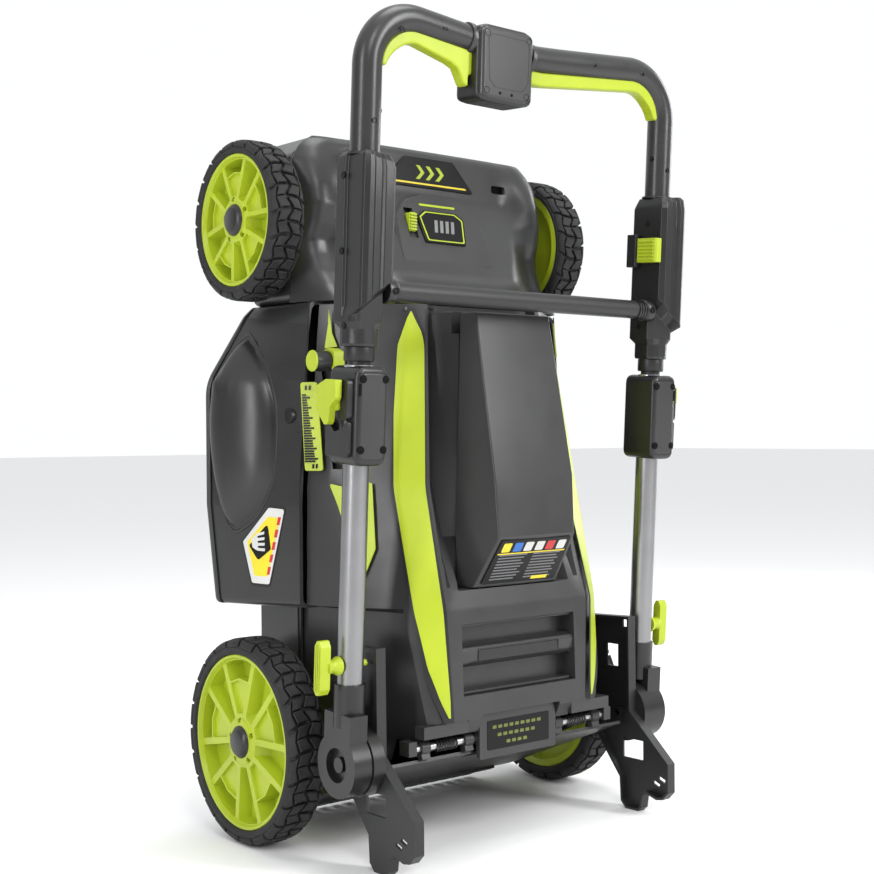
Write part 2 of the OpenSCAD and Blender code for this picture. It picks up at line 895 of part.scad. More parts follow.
// quarter bend at the top of the left leg
module corner(r) {
  intersection() {
    translate([-bend_x, bend_s, 0]) rotate_extrude() translate([60, 0]) circle(r = r);
    box([-300, bend_s, -30], [-bend_x, 900, 30]);
  }
}

// roof of the channel in the cross tube
function roof(x) = mid_s + 2 + x * tan(dip_a);

// left half of the cross tube, falling from the corner to the middle
module wing(x0, x1, r) {
  translate([-wing_x, bend_s + 60 * cos(dip_a), 0]) rotate([0, 0, -dip_a]) xcyl(x0, wing_x / cos(dip_a) - x1, r);
}

module half_grip() {
  union() {
    union() {
      translate([-tube_x, 0, 0]) ycyl(616, bend_s, grip_r);
      corner(grip_r);
      translate([-(bend_x + wing_x) / 2, bend_s + 60 * cos(dip_a / 2), 0]) rotate([0, 0, -dip_a / 2])
        xcyl(-5, 5, grip_r + 1);
    }
    wing(0.5, 3, grip_r);
  }
}

module grip_tube() {
  color(black) handle() difference() {
    union() {
      half_grip();
      mirror([1, 0, 0]) half_grip();
      translate([0, mid_s, 0]) xcyl(-6, 6, grip_r + 1);
    }
    for (s = [-1, 1]) side(s) {
      translate([-tube_x, 0, 0]) ycyl(610, bend_s - 24, grip_r - 2);
      wing(10, 10, grip_r - 2);
    }
    // channel the bail slides in
    translate([0, 0, -9.6]) linear_extrude(19.2) polygon([[-226, bend_s - 18], [226, bend_s - 18],
      [226, roof(175)], [175, roof(175)], [0, roof(0)], [-175, roof(175)], [-226, roof(175)]]);
  }
}

module console() {
  color(dark) handle() difference() {
    box([-95, 772, -22], [-8, 863, 24]);
    wing(60, 1, grip_r);
    box([-110, 796, -9.6], [4, 845, 9.6]);
    translate([-52, 797, -32]) cylinder(r = 9.3, h = 20);
    for (x = [-85, -18]) translate([x, 782, 14]) cylinder(r = 2.6, h = 12);
  }
}

module start_button() {
  color(lime) handle() translate([-52, 797, -25.5]) cylinder(r = 9, h = 10);
}

module bail() {
  color(lime) handle() translate([0, 0, -9]) linear_extrude(18) {
    difference() {
      for (s = [-1, 1]) translate([s * 175, bend_s]) circle(r = 47);
      for (s = [-1, 1]) translate([s * 175, bend_s]) circle(r = 23);
      translate([-175, 700]) square([350, 200]);
      translate([-300, 700]) square([600, bend_s - 704]);
    }
    polygon([[-175.1, bend_s + 23], [-118, mid_s - 28], [-112, mid_s - 47], [-98, mid_s - 50], [-97, mid_s - 30],
      [-16, mid_s - 37], [16, mid_s - 37], [175.1, bend_s + 23], [175.1, bend_s + 47],
      [16, mid_s - 13], [-16, mid_s - 13], [-175.1, bend_s + 47]]);
  }
}

deck_shell();
top_cowl();
stripes();
accents();
height_scale();
side_label();
front_badge();
nose_plate();
hood_button();
rear_cover();
carry_bar();
hinge_rods();
hinge_blocks();
door_springs();
battery_tray();
battery_contacts();
motor_can();
motor_plate();
controller();
drive_unit();
front_axle();
rear_axle();
brackets();
pivot_discs();
deck_screws();
battery_lid();
lid_label();
battery_pack();
battery_latch();
safety_key();
rear_door();
trailing_skirt();
lever_arm();
lever_knob();
rotor_shaft();
blade_carrier();
blade();
blade_bolt();
tyre_fl();
rim_fl();
tyre_fr();
rim_fr();
tyre_rl();
rim_rl();
tyre_rr();
rim_rr();
handle_hubs();
lower_tubes();
clamps();
cam_lever_l();
cam_lever_r();
tee_knob_l();
tee_knob_r();
upper_tubes();
upper_housings();
speed_slider();
grip_tube();
console();
bail();
start_button();
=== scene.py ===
import json
import math

import bmesh
import bpy
from mathutils import Matrix, Vector


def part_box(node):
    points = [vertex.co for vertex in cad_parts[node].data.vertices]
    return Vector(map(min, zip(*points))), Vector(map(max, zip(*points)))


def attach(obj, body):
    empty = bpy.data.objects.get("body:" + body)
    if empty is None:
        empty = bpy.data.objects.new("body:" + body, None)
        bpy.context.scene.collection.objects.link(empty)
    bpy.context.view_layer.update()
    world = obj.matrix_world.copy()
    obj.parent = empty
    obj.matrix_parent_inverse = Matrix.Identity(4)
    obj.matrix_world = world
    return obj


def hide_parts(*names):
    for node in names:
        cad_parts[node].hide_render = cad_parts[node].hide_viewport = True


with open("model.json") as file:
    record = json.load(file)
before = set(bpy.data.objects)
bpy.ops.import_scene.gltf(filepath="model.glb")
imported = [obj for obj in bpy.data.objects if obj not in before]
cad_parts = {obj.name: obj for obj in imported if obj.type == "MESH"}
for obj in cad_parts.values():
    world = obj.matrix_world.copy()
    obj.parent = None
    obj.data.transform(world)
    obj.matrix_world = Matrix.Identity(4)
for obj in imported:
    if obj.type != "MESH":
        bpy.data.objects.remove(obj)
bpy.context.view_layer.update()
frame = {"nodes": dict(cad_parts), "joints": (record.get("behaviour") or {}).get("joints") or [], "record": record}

# ---- axes, taken from the frame
# Work axes, in millimetres: x to the mower's right, f forward and u up, from the middle of the rear axle.
# Handle axes: the same x, then s along the tubes from the pivot and n away from the deck.
T, R = Matrix.Translation, Matrix.Rotation
QUARTER = math.pi / 2
low_corner, high_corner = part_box("tyre_rl")
AXLE_Y, AXLE_Z = (low_corner[1] + high_corner[1]) / 2, (low_corner[2] + high_corner[2]) / 2
JOINT = {j["name"]: j for j in frame["joints"]}
WORK = Matrix(((0.001, 0, 0, 0), (0, 0, -0.001, AXLE_Y), (0, 0.001, 0, AXLE_Z), (0, 0, 0, 1)))
PIVOT = (AXLE_Y - JOINT["handle_fold"]["pos_m"][1]) * 1000
slide = JOINT["handle_extend"]["axis"]
LEAN = math.atan2(-slide[1], slide[2])
HANDLE = WORK @ T((0, 0, PIVOT)) @ R(LEAN, 4, "X")
FLIP = Matrix.Scale(-1, 4, (1, 0, 0))
# an outline drawn in the first two axes and raised along the third: to x, z, y, to z, y, x and to z, x, y
RAISE_Y = Matrix(((1, 0, 0, 0), (0, 0, 1, 0), (0, 1, 0, 0), (0, 0, 0, 1)))
RAISE_X = Matrix(((0, 0, 1, 0), (0, 1, 0, 0), (1, 0, 0, 0), (0, 0, 0, 1)))
SIDEWAYS = Matrix(((0, 0, 1, 0), (1, 0, 0, 0), (0, 1, 0, 0), (0, 0, 0, 1)))
SIDEWAYS_LEFT = Matrix(((0, 0, -1, 0), (1, 0, 0, 0), (0, -1, 0, 0), (0, 0, 0, 1)))


def to_x(x=0, y=0, z=0, turn=QUARTER):
    """Lays a lathe's z along x."""
    return T((x, y, z)) @ R(turn, 4, "Y")


def to_y(x=0, y=0, z=0):
    """Lays a lathe's z along y."""
    return T((x, y, z)) @ R(-QUARTER, 4, "X")


# ---- mesh building, in millimetres
class Geo:
    """Points and faces, built up from simple bodies. Every method returns the Geo itself."""

    def __init__(self):
        self.v, self.f = [], []

    def add(self, verts, faces, m=None):
        k = len(self.v)
        self.v += [m @ Vector(p) if m else Vector(p) for p in verts]
        self.f += [[i + k for i in f] for f in faces]
        return self

    def merge(self, other, m=None):
        flip = m is not None and m.determinant() < 0
        return self.add(other.v, [f[::-1] for f in other.f] if flip else other.f, m)

    def box(self, a, b, m=None):
        (x0, y0, z0), (x1, y1, z1) = a, b
        v = [(x, y, z) for z in (z0, z1) for x, y in rect(x0, y0, x1, y1)]
        walls = [(k, (k + 1) % 4, (k + 1) % 4 + 4, k + 4) for k in range(4)]
        return self.add(v, [(3, 2, 1, 0), (4, 5, 6, 7), *walls], m)

    def loft(self, rings, m=None, cap=True):
        """A skin over rings that have the same number of points, closed at both ends if cap."""
        n = len(rings[0])
        f = []
        for i in range(len(rings) - 1):
            for k in range(n):
                a, b = i * n + k, i * n + (k + 1) % n
                f.append((a, b, b + n, a + n))
        if cap:
            f += [tuple(range(n))[::-1], tuple(range((len(rings) - 1) * n, len(rings) * n))]
        return self.add([p for ring in rings for p in ring], f, m)

    def prism(self, pts, a, b, m=None):
        """An outline raised from height a to height b."""
        if sum(p[0] * q[1] - q[0] * p[1] for p, q in zip(pts, pts[1:] + pts[:1])) < 0:
            pts = pts[::-1]
        return self.loft([[(x, y, z) for x, y in pts] for z in (a, b)], m)

    def lathe(self, prof, n=64, m=None, closed=False):
        """Turns a profile of (radius, z) round z, into a ring if closed and otherwise with end caps."""
        turns = [2 * math.pi * k / n for k in range(n)]
        rings = [[(r * math.cos(a), r * math.sin(a), z) for a in turns] for r, z in prof]
        if closed:
            return self.loft(rings + [rings[0]], m, cap=False)
        return self.loft(rings, m)

    def tube(self, path, r, n=16, m=None):
        path = [Vector(p) for p in path]
        turns = [2 * math.pi * k / n for k in range(n)]
        rings, side = [], None
        for i, p in enumerate(path):
            d = (path[min(i + 1, len(path) - 1)] - path[max(i - 1, 0)]).normalized()
            if side is None:
                side = d.orthogonal().normalized()
            side = (side - d * side.dot(d)).normalized()
            up = d.cross(side)
            rings.append([p + r * (math.cos(a) * side + math.sin(a) * up) for a in turns])
        return self.loft(rings, m)


def sides(geo):
    """A Geo together with its mirror image."""
    return Geo().merge(geo).merge(geo, FLIP)


def rect(x0, y0, x1, y1):
    return [(x0, y0), (x1, y0), (x1, y1), (x0, y1)]


def mirrored(half):
    return half + [(-x, y) for x, y in half[::-1]]


def scaled(pts, kx, ky=None, cx=0, cy=0):
    """An outline scaled about (cx, cy)."""
    return [(cx + (x - cx) * kx, cy + (y - cy) * (ky or kx)) for x, y in pts]


def rounded(pts, r, n=5):
    """An outline with its corners rounded in n steps. r is one radius, or one for each corner."""
    out = []
    count = len(pts)
    for i in range(count):
        p, a, b = Vector(pts[i]), Vector(pts[i - 1]), Vector(pts[(i + 1) % count])
        radius = r[i] if isinstance(r, (list, tuple)) else r
        u, w = (a - p), (b - p)
        d = min(radius / max(math.tan(u.angle(w) / 2), 1e-3), u.length * 0.49, w.length * 0.49)
        if radius <= 0 or d < 1e-3:
            out.append((p.x, p.y))
            continue
        start, end = p + u.normalized() * d, p + w.normalized() * d
        for q in range(n + 1):
            t = q / n
            c = (1 - t) ** 2 * start + 2 * t * (1 - t) * p + t * t * end
            out.append((c.x, c.y))
    return out


def line(keys, x):
    """Straight lines through (x, y) keys, level beyond the ends."""
    if x <= keys[0][0]:
        return keys[0][1]
    for (x0, y0), (x1, y1) in zip(keys, keys[1:]):
        if x <= x1:
            return y0 + (y1 - y0) * (x - x0) / (x1 - x0)
    return keys[-1][1]


def new_object(name, verts, faces):
    """An object of these points and faces, put in the scene."""
    mesh = bpy.data.meshes.new(name)
    mesh.from_pydata(verts, [], faces)
    ob = bpy.data.objects.new(name, mesh)
    bpy.context.scene.collection.objects.link(ob)
    return ob


def fix_normals(mesh, weld=0.0):
    """Turns every face outward, after joining points closer than weld."""
    bm = bmesh.new()
    bm.from_mesh(mesh)
    if weld:
        bmesh.ops.remove_doubles(bm, verts=bm.verts, dist=weld)
    bmesh.ops.recalc_face_normals(bm, faces=bm.faces)
    bm.to_mesh(mesh)
    bm.free()


def finish_mesh(ob, bevel=0.0, seg=2, angle=32):
    """Smooth faces below an angle in degrees, and a bevel in millimetres on the sharper edges."""
    mesh = ob.data
    mesh.polygons.foreach_set("use_smooth", [True] * len(mesh.polygons))
    mesh.set_sharp_from_angle(angle=math.radians(angle))
    if bevel:
        md = ob.modifiers.new("bevel", "BEVEL")
        md.width = bevel / 1000
        md.segments = seg
        md.limit_method = "ANGLE"
        md.angle_limit = math.radians(angle)
        md.harden_normals = True
        md.miter_outer = "MITER_ARC"


def piece(name, geo, mat, slot, body="deck", m=WORK, replaces=(), **finish):
    """Makes an object of a Geo, puts it in the row frame and lets it ride on a body."""
    flip = m.determinant() < 0
    ob = new_object(name, [m @ v for v in geo.v], [f[::-1] if flip else f for f in geo.f])
    ob.data.validate()
    fix_normals(ob.data, weld=2e-6)
    ob.data.materials.append(mat)
    finish_mesh(ob, **finish)
    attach(ob, body)
    if replaces:
        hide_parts(*replaces)


def on_handle(name, geo, mat, slot, body="handle_upper", m=HANDLE, **more):
    piece(name, geo, mat, slot, body, m, **more)


def carved(geo, cutters):
    """A Geo minus the cutters, as a new Geo. The boolean works in units of 100 mm."""
    solids = []
    for g in (geo, *cutters):
        solids.append(new_object("solid", [v * 0.01 for v in g.v], g.f))
        fix_normals(solids[-1].data)
    base, *cuts = solids
    for cut in cuts:
        md = base.modifiers.new("cut", "BOOLEAN")
        md.object, md.operation, md.solver = cut, "DIFFERENCE", "EXACT"
    bpy.context.view_layer.update()
    result = base.evaluated_get(bpy.context.evaluated_depsgraph_get())
    mesh = result.to_mesh()
    out = Geo().add([v.co * 100 for v in mesh.vertices], [tuple(p.vertices) for p in mesh.polygons])
    result.to_mesh_clear()
    for ob in solids:
        mesh = ob.data
        bpy.data.objects.remove(ob)
        bpy.data.meshes.remove(mesh)
    return out


# ---- materials
def shader(name, color, rough=0.5, metal=0.0, grain=900.0, bump=0.08, mottle=0.06, spec=0.5, dust=0.0,
           scratch=0.0, brushed=None):
    """A procedural material: mottled colour, uneven gloss, fine grain, and dust or scratches if asked for."""
    mat = bpy.data.materials.new(name)
    mat.use_nodes = True
    nodes, links = mat.node_tree.nodes, mat.node_tree.links
    surface = nodes["Principled BSDF"]
    surface.inputs["Metallic"].default_value = metal
    surface.inputs["Specular IOR Level"].default_value = spec
    place = nodes.new("ShaderNodeTexCoord").outputs["Object"]

    def noise(scale, detail=3.0, stretch=None):
        texture = nodes.new("ShaderNodeTexNoise")
        texture.inputs["Scale"].default_value = scale
        texture.inputs["Detail"].default_value = detail
        source = place
        if stretch:
            mapping = nodes.new("ShaderNodeMapping")
            mapping.inputs["Scale"].default_value = stretch
            links.new(source, mapping.inputs["Vector"])
            source = mapping.outputs["Vector"]
        links.new(source, texture.inputs["Vector"])
        return texture.outputs["Fac"]

    def remap(source, *limits):
        node = nodes.new("ShaderNodeMapRange")
        for key, value in zip(("From Min", "From Max", "To Min", "To Max"), limits):
            node.inputs[key].default_value = value
        links.new(source, node.inputs["Value"])
        return node.outputs["Result"]

    def mix(factor, *colors):
        node = nodes.new("ShaderNodeMix")
        node.data_type = "RGBA"
        links.new(factor, node.inputs[0])
        for socket, value in zip((node.inputs[6], node.inputs[7]), colors):
            if isinstance(value, tuple):
                socket.default_value = (*value, 1)
            else:
                links.new(value, socket)
        return node.outputs[2]

    def relief(height, strength, distance, normal=None):
        node = nodes.new("ShaderNodeBump")
        node.inputs["Strength"].default_value = strength
        node.inputs["Distance"].default_value = distance
        links.new(height, node.inputs["Height"])
        if normal:
            links.new(normal, node.inputs["Normal"])
        return node.outputs["Normal"]

    dark = tuple(c * (1 - 1.6 * mottle) for c in color)
    light = tuple(min(1, c * (1 + 1.2 * mottle) + 0.01 * mottle) for c in color)
    tint = mix(remap(noise(14.0, 4.0), 0.3, 0.7, 0, 1), dark, light)
    if dust:
        tint = mix(remap(noise(60.0, 6.0), 0.52, 0.8, 0, dust), tint, (0.30, 0.29, 0.26))
    links.new(tint, surface.inputs["Base Color"])
    gloss = remap(noise(30.0, 5.0), 0.25, 0.75, max(0.02, rough - 0.03), min(1, rough + 0.05))
    links.new(gloss, surface.inputs["Roughness"])
    normal = relief(noise(grain, 2.0, brushed), bump, 0.0004)
    if scratch:
        lines = remap(noise(220.0, 2.0, (1.0, 0.05, 0.08)), 0.62, 0.7, 0, 1)
        normal = relief(lines, scratch, 0.0003, normal)
    links.new(normal, surface.inputs["Normal"])
    return mat


LIME = shader("lime_plastic", (0.385, 0.475, 0.018), 0.36, grain=1500, bump=0.06, mottle=0.05, spec=0.45)
GREY = shader("grey_plastic", (0.028, 0.028, 0.0285), 0.33, grain=1400, bump=0.12, mottle=0.07)
DECK = shader("deck_plastic", (0.019, 0.019, 0.0195), 0.30, grain=1300, bump=0.12, mottle=0.08)
DARK = shader("dark_plastic", (0.0105, 0.0105, 0.011), 0.33, grain=1300, bump=0.12, mottle=0.08)
BLACK = shader("black_plastic", (0.005, 0.005, 0.0052), 0.42, grain=1100, bump=0.12, mottle=0.1)
GRIP = shader("coated_tube", (0.022, 0.022, 0.0225), 0.30, grain=1800, bump=0.1, mottle=0.05)
LIGHT = shader("light_plastic", (0.17, 0.17, 0.175), 0.45, grain=1300, bump=0.12)
STEEL = shader("steel", (0.52, 0.52, 0.53), 0.3, metal=1.0, grain=700, bump=0.05,
               brushed=(1, 1, 0.04), scratch=0.05)
ALU = shader("aluminium", (0.27, 0.27, 0.275), 0.32, metal=1.0, bump=0.05, brushed=(1, 1, 0.02), scratch=0.04)
COAT = shader("black_powder_coat", (0.014, 0.014, 0.015), 0.42, grain=1700, bump=0.22)
RUBBER = shader("tyre_rubber", (0.012, 0.012, 0.013), 0.66, bump=0.2, mottle=0.12, dust=0.05, spec=0.4)
FLAP = shader("flap_rubber", (0.015, 0.015, 0.015), 0.7, grain=800, bump=0.2, mottle=0.12, dust=0.08)
SCREW = shader("black_screw", (0.01, 0.01, 0.011), 0.25, metal=0.6, grain=1500, bump=0.05)
BRASS = shader("contact_brass", (0.7, 0.48, 0.2), 0.3, metal=1.0, bump=0.05)
FILM = shader("black_film", (0.0045, 0.0045, 0.005), 0.3, grain=2200, bump=0.03, spec=0.22)
WHITE, YELLOW, RED, BLUE = (shader(name, color, 0.35, grain=2000, bump=0.03) for name, color in (
    ("white_print", (0.62, 0.62, 0.6)), ("yellow_print", (0.8, 0.62, 0.02)),
    ("red_print", (0.55, 0.02, 0.02)), ("blue_print", (0.02, 0.14, 0.5))))
OLIVE = shader("olive_print", (0.12, 0.14, 0.02), 0.3, grain=2000, bump=0.03)
# near-black matte for holes, slots and screw recesses: painted shade that stands in for the dark inside them
PAINTED_HOLE_SHADE = shader("painted_hole_shade", (0.0025, 0.0025, 0.0026), 0.8, bump=0.1, spec=0.15)

# the CAD nodes that stay in view take their material from their slot, except these three
BY_SLOT = {"lime": LIME, "grey": GREY, "dark": DARK, "black": BLACK, "light": LIGHT, "label_yellow": YELLOW,
           "label_black": FILM, "steel": STEEL, "black_steel": COAT, "alu": ALU, "motor": COAT,
           "copper": BRASS, "tread": RUBBER, "flap": FLAP}
BY_NODE = {"deck_shell": DECK, "hinge_blocks": GREY, "door_springs": COAT}
slots = {part["node"]: part["material_slot"] for part in frame["record"]["subparts"]}
for node, ob in frame["nodes"].items():
    ob.data.materials.clear()
    ob.data.materials.append(BY_NODE.get(node, BY_SLOT[slots[node]]))
    finish_mesh(ob, bevel=0.7, angle=28)

# ---- camera
scene = bpy.context.scene
yaw, pitch, roll = (math.radians(a) for a in (43.084, -0.727, -0.311))
forward = Vector((math.sin(yaw) * math.cos(pitch), math.cos(yaw) * math.cos(pitch), math.sin(pitch)))
level_right = Vector((math.cos(yaw), -math.sin(yaw), 0))
level_up = level_right.cross(forward)
right = math.cos(roll) * level_right + math.sin(roll) * level_up
up = -math.sin(roll) * level_right + math.cos(roll) * level_up
place = T((-1.16980, AXLE_Y - 1.59037, AXLE_Z + 0.37917))
camera = bpy.data.objects.new("camera", bpy.data.cameras.new("camera"))
camera.matrix_world = place @ Matrix((right, up, -forward)).transposed().to_4x4()
camera.data.sensor_width = 36
camera.data.lens = 59.84609
camera.data.shift_x, camera.data.shift_y = -0.16912, 0.01468
camera.data.clip_end = 50
scene.collection.objects.link(camera)
scene.camera = camera

# ---- floor and light
scene.view_settings.view_transform = "Standard"
world = bpy.data.worlds.new("world")
scene.world = world
world.use_nodes = True
tree = world.node_tree
background = tree.nodes["Background"]
background.inputs[0].default_value = (0.96, 0.97, 0.98, 1)
direction = tree.nodes.new("ShaderNodeTexCoord").outputs["Generated"]


def brighter_towards(axis, start, end):
    """World strength that rises from dim to full between two cosines of the angle to an axis."""
    cosine = tree.nodes.new("ShaderNodeVectorMath")
    cosine.operation = "DOT_PRODUCT"
    cosine.inputs[1].default_value = axis
    tree.links.new(direction, cosine.inputs[0])
    rise = tree.nodes.new("ShaderNodeMapRange")
    rise.interpolation_type = "SMOOTHSTEP"
    for key, value in zip(("From Min", "From Max", "To Min", "To Max"), (start, end, 0.32, 1.04)):
        rise.inputs[key].default_value = value
    tree.links.new(cosine.outputs["Value"], rise.inputs["Value"])
    return rise.outputs["Result"]


strength = tree.nodes.new("ShaderNodeMath")
strength.operation = "MAXIMUM"
tree.links.new(brighter_towards((0.683, 0.730, 0.0), -0.15, 0.55), strength.inputs[0])
tree.links.new(brighter_towards((0.0, 0.0, 1.0), 0.25, 0.75), strength.inputs[1])
tree.links.new(strength.outputs[0], background.inputs[1])

bpy.ops.mesh.primitive_plane_add(size=60, location=(0, 0, 0))
floor = bpy.context.object
floor.name = "floor"
floor_paint = bpy.data.materials.new("floor")
floor_paint.use_nodes = True
paint_inputs = floor_paint.node_tree.nodes["Principled BSDF"].inputs
paint_inputs["Base Color"].default_value = (0.88, 0.88, 0.88, 1)
paint_inputs["Roughness"].default_value = 0.85
floor.data.materials.append(floor_paint)


def light(name, place, target, width, power, height=None):
    lamp = bpy.data.lights.new(name, "AREA")
    lamp.shape, lamp.size, lamp.size_y, lamp.energy = "RECTANGLE", width, height or width, power
    ob = bpy.data.objects.new(name, lamp)
    ob.location = place
    ob.rotation_mode = "QUATERNION"
    ob.rotation_quaternion = (Vector(target) - Vector(place)).to_track_quat("-Z", "Y")
    scene.collection.objects.link(ob)


light("key", (1.3, -3.0, 2.1), (0, 0, 0.55), 0.6, 88, 2.0)
light("strip_left", (-3.1, -0.9, 1.3), (0, 0, 0.5), 0.4, 40, 2.2)
light("strip_front", (-1.5, -3.1, 2.9), (0, 0, 0.45), 0.7, 34, 1.2)
light("fill_right", (2.9, 0.2, 1.3), (0, 0, 0.5), 0.6, 26, 2.0)
light("top", (0.2, -0.3, 3.4), (0, 0, 0.4), 1.4, 34)

# ---- wheels
# a wheel stands on its own axis z, from the inner face at 0 to the outer face at its width
REAR_WIDTH, FRONT_WIDTH = 50, 46
HUB_BORE = 8.1


def polar(r, a):
    return Vector((r * math.cos(a), r * math.sin(a)))


def arc(start, end, r, n=6):
    """Points on radius r, between the directions of two points."""
    a, b = math.atan2(start.y, start.x), math.atan2(end.y, end.x)
    if b - a > math.pi:
        b -= 2 * math.pi
    if a - b > math.pi:
        b += 2 * math.pi
    return [polar(r, a + (b - a) * i / n) for i in range(n + 1)]


def rim_geo(rad, w):
    """Rim with five split spokes: a disc with sunk pockets between raised ridges, hollow from behind."""
    disc = Geo().lathe([(HUB_BORE, w - 3.4), (HUB_BORE, 3), (24, 3), (25, w - 34), (rad - 12, w - 31),
                        (rad - 10, 3.4), (rad - 1, 3.2), (rad, 4), (rad, w - 3.6), (rad - 0.8, w - 2.9),
                        (rad - 3.6, w - 2.9), (rad - 4.6, w - 4.6), (rad - 5.6, w - 7.5), (30, w - 5.5),
                        (26, w - 3.4)], 180, closed=True)
    cuts = []
    half_ridge = rad * 0.036

    def ridge(spoke, side, t, off):
        """Point at t along one leg of a spoke, moved sideways by off."""
        inner = polar(21, spoke + side * math.radians(13))
        outer = polar(rad - 3, spoke + side * math.radians(20.5))
        d = (outer - inner).normalized()
        return inner.lerp(outer, t) + off * side * Vector((-d.y, d.x))

    def pocket(pts, floor, draft):
        pts = rounded([tuple(p) for p in pts], rad * 0.018, 2)
        cx, cy = (sum(p[i] for p in pts) / len(pts) for i in (0, 1))
        levels = ((draft, floor), (1.0, w - 5), (1.04, w + 4))
        cuts.append(Geo().loft([[(x, y, z) for x, y in scaled(pts, k, cx=cx, cy=cy)] for k, z in levels]))

    def leg(spoke, t, off=-half_ridge):
        return [ridge(spoke, side, t, off) for side in (1, -1)]

    for i in range(5):
        spoke, following = math.radians(72 * i + 6), math.radians(72 * (i + 1) + 6)
        (a, b), (outer_a, outer_b) = leg(spoke, 0.66), leg(spoke, 0.97)
        middle = (a + b) / 2 + polar(rad * 0.045, spoke)
        pocket([a, middle, b] + arc(outer_b, outer_a, rad - 6.4), w - 29, 0.86)
        upper_a, upper_b = leg(spoke, 0.64)
        crotch = middle - polar(rad * 0.015, spoke)
        pocket([*leg(spoke, 0.16), upper_b, crotch, upper_a], w - 10.5, 0.95)
        between = arc(ridge(spoke, 1, 0.97, half_ridge), ridge(following, -1, 0.97, half_ridge), rad - 6.4)
        pocket([ridge(spoke, 1, 0.13, half_ridge)] + between + [ridge(following, -1, 0.13, half_ridge)],
               w - 24, 0.84)
        root, along, across = polar(25.5, spoke), polar(1, spoke), polar(1, spoke + QUARTER)
        corners = ((-2.4, -3), (3.6, -3.4), (3.6, 3.4), (-2.4, 3))
        pocket([root + along * x + across * y for x, y in corners], w - 20, 0.9)
    for i in range(10):
        a = math.radians(36 * i)
        outer = arc(polar(1, a + 0.04), polar(1, a + 0.588), rad - 13, 5)
        hollow = [tuple(p) for p in (polar(28, a + 0.06), *outer, polar(28, a + 0.568))]
        cuts.append(Geo().prism(hollow, -2, w - 36))
    return carved(disc, cuts)


def tyre_geo(rad, bore, w, pitches):
    """Tyre carcass with tread blocks from both shoulders to the middle."""
    flank = [(bore + 0.4, 3.4), (bore + 1.6, 1.4), (bore + 2.6, 1.4), (bore + 3.4, 0.7), (rad - 11.5, 0.6),
             (rad - 9, 2.6), (rad - 5.2, 6.5)]
    crown = [(rad - 4.8, 12), (rad - 4.8, w - 12)]
    geo = Geo().lathe(flank + crown + [(r, w - z) for r, z in flank[::-1]], 144, closed=True)
    half = [(rad - 11, w - 1.1), (rad - 8, w - 0.15), (rad - 4.2, w - 1.7), (rad - 1.5, w - 5.0),
            (rad - 0.35, w - 10), (rad, w - 15), (rad, w / 2 - 4)]
    reached = [0.0]
    for p, q in zip(half, half[1:]):
        reached.append(reached[-1] + math.hypot(q[0] - p[0], q[1] - p[1]))

    def surface(s, drop):
        """Radius and height at length s over the tread, sunk by drop."""
        s = min(max(s, 0), reached[-1])
        for i, ((a, b), (c, d)) in enumerate(zip(half, half[1:])):
            if s <= reached[i + 1] + 1e-9:
                t = (s - reached[i]) / (reached[i + 1] - reached[i])
                nx, nz = (b - d), (c - a)
                k = math.hypot(nx, nz)
                return a + (c - a) * t - drop * nx / k, b + (d - b) * t - drop * nz / k
        return half[-1]

    pitch = 2 * math.pi / pitches
    full = reached[-1] - 4.0
    edge = 0.035
    na = 4

    def block(turn, a0, a1, b0, b1, far, sunk):
        """One block between the fractions a of a pitch and b of the way from the shoulder to the middle."""
        nb = max(3, int(8 * (b1 - b0) + 1))

        def point(a, b, drop):
            skew = 0.42 * max(0, b - 0.22) / 0.78 if b < 0.62 else 0.215 + 0.1 * (b - 0.62)
            th = turn + a * (pitch * 0.86) + pitch * skew
            r, z = surface(b * (full - 2.5 + 3.4 * math.cos(2 * math.pi * a)), drop)
            if not far:
                z, th = w - z, th + pitch * 0.5
            return r * math.cos(th), r * math.sin(th), z

        def outline(shrink, drop):
            p0, p1, q0, q1 = a0 + shrink, a1 - shrink, b0 + shrink, b1 - shrink
            ring = [point(p0 + (p1 - p0) * i / na, q0, drop) for i in range(na)]
            ring += [point(p1, q0 + (q1 - q0) * j / nb, drop) for j in range(nb)]
            ring += [point(p1 - (p1 - p0) * i / na, q1, drop) for i in range(na)]
            return ring + [point(p0, q1 - (q1 - q0) * j / nb, drop) for j in range(nb)]

        count = 2 * (na + nb)
        verts = outline(-0.012, 6.0) + outline(0.0, 0.9) + outline(edge, 0.0)
        faces = []
        for first in (0, count):
            for k in range(count):
                a, b = first + k, first + (k + 1) % count
                faces.append((a, b, b + count, a + count))
        p0, p1, q0, q1 = a0 + edge, a1 - edge, b0 + edge, b1 - edge
        border = {(i, 0): i for i in range(na + 1)}
        border.update({(na, j): na + j for j in range(1, nb + 1)})
        border.update({(i, nb): na + nb + (na - i) for i in range(na)})
        border.update({(0, j): 2 * na + nb + (nb - j) for j in range(1, nb)})
        grid = {at: 2 * count + k for at, k in border.items()}
        for i in range(1, na):
            for j in range(1, nb):
                grid[i, j] = len(verts)
                a, b = p0 + (p1 - p0) * i / na, q0 + (q1 - q0) * j / nb
                verts.append(point(a, b, 0.55 if sunk else 0.0))
        for i in range(na):
            for j in range(nb):
                faces.append((grid[i, j], grid[i + 1, j], grid[i + 1, j + 1], grid[i, j + 1]))
        faces.append(tuple(range(count))[::-1])
        geo.add(verts, faces)

    for p in range(pitches):
        for far in (0, 1):
            block(p * pitch, 0.0, 1.0, 0.0, 0.46, far, False)
            block(p * pitch, 0.0, 0.47, 0.53, 1.0, far, True)
            block(p * pitch, 0.53, 1.0, 0.53, 1.0, far, False)
    return geo


def cap_geo(w):
    return Geo().lathe([(0.2, w - 5), (19.4, w - 5), (20, w - 3.4), (19.6, w - 2.2), (15.3, w + 1.9),
                        (14.2, w + 2.4), (0.2, w + 2.4)], 72)


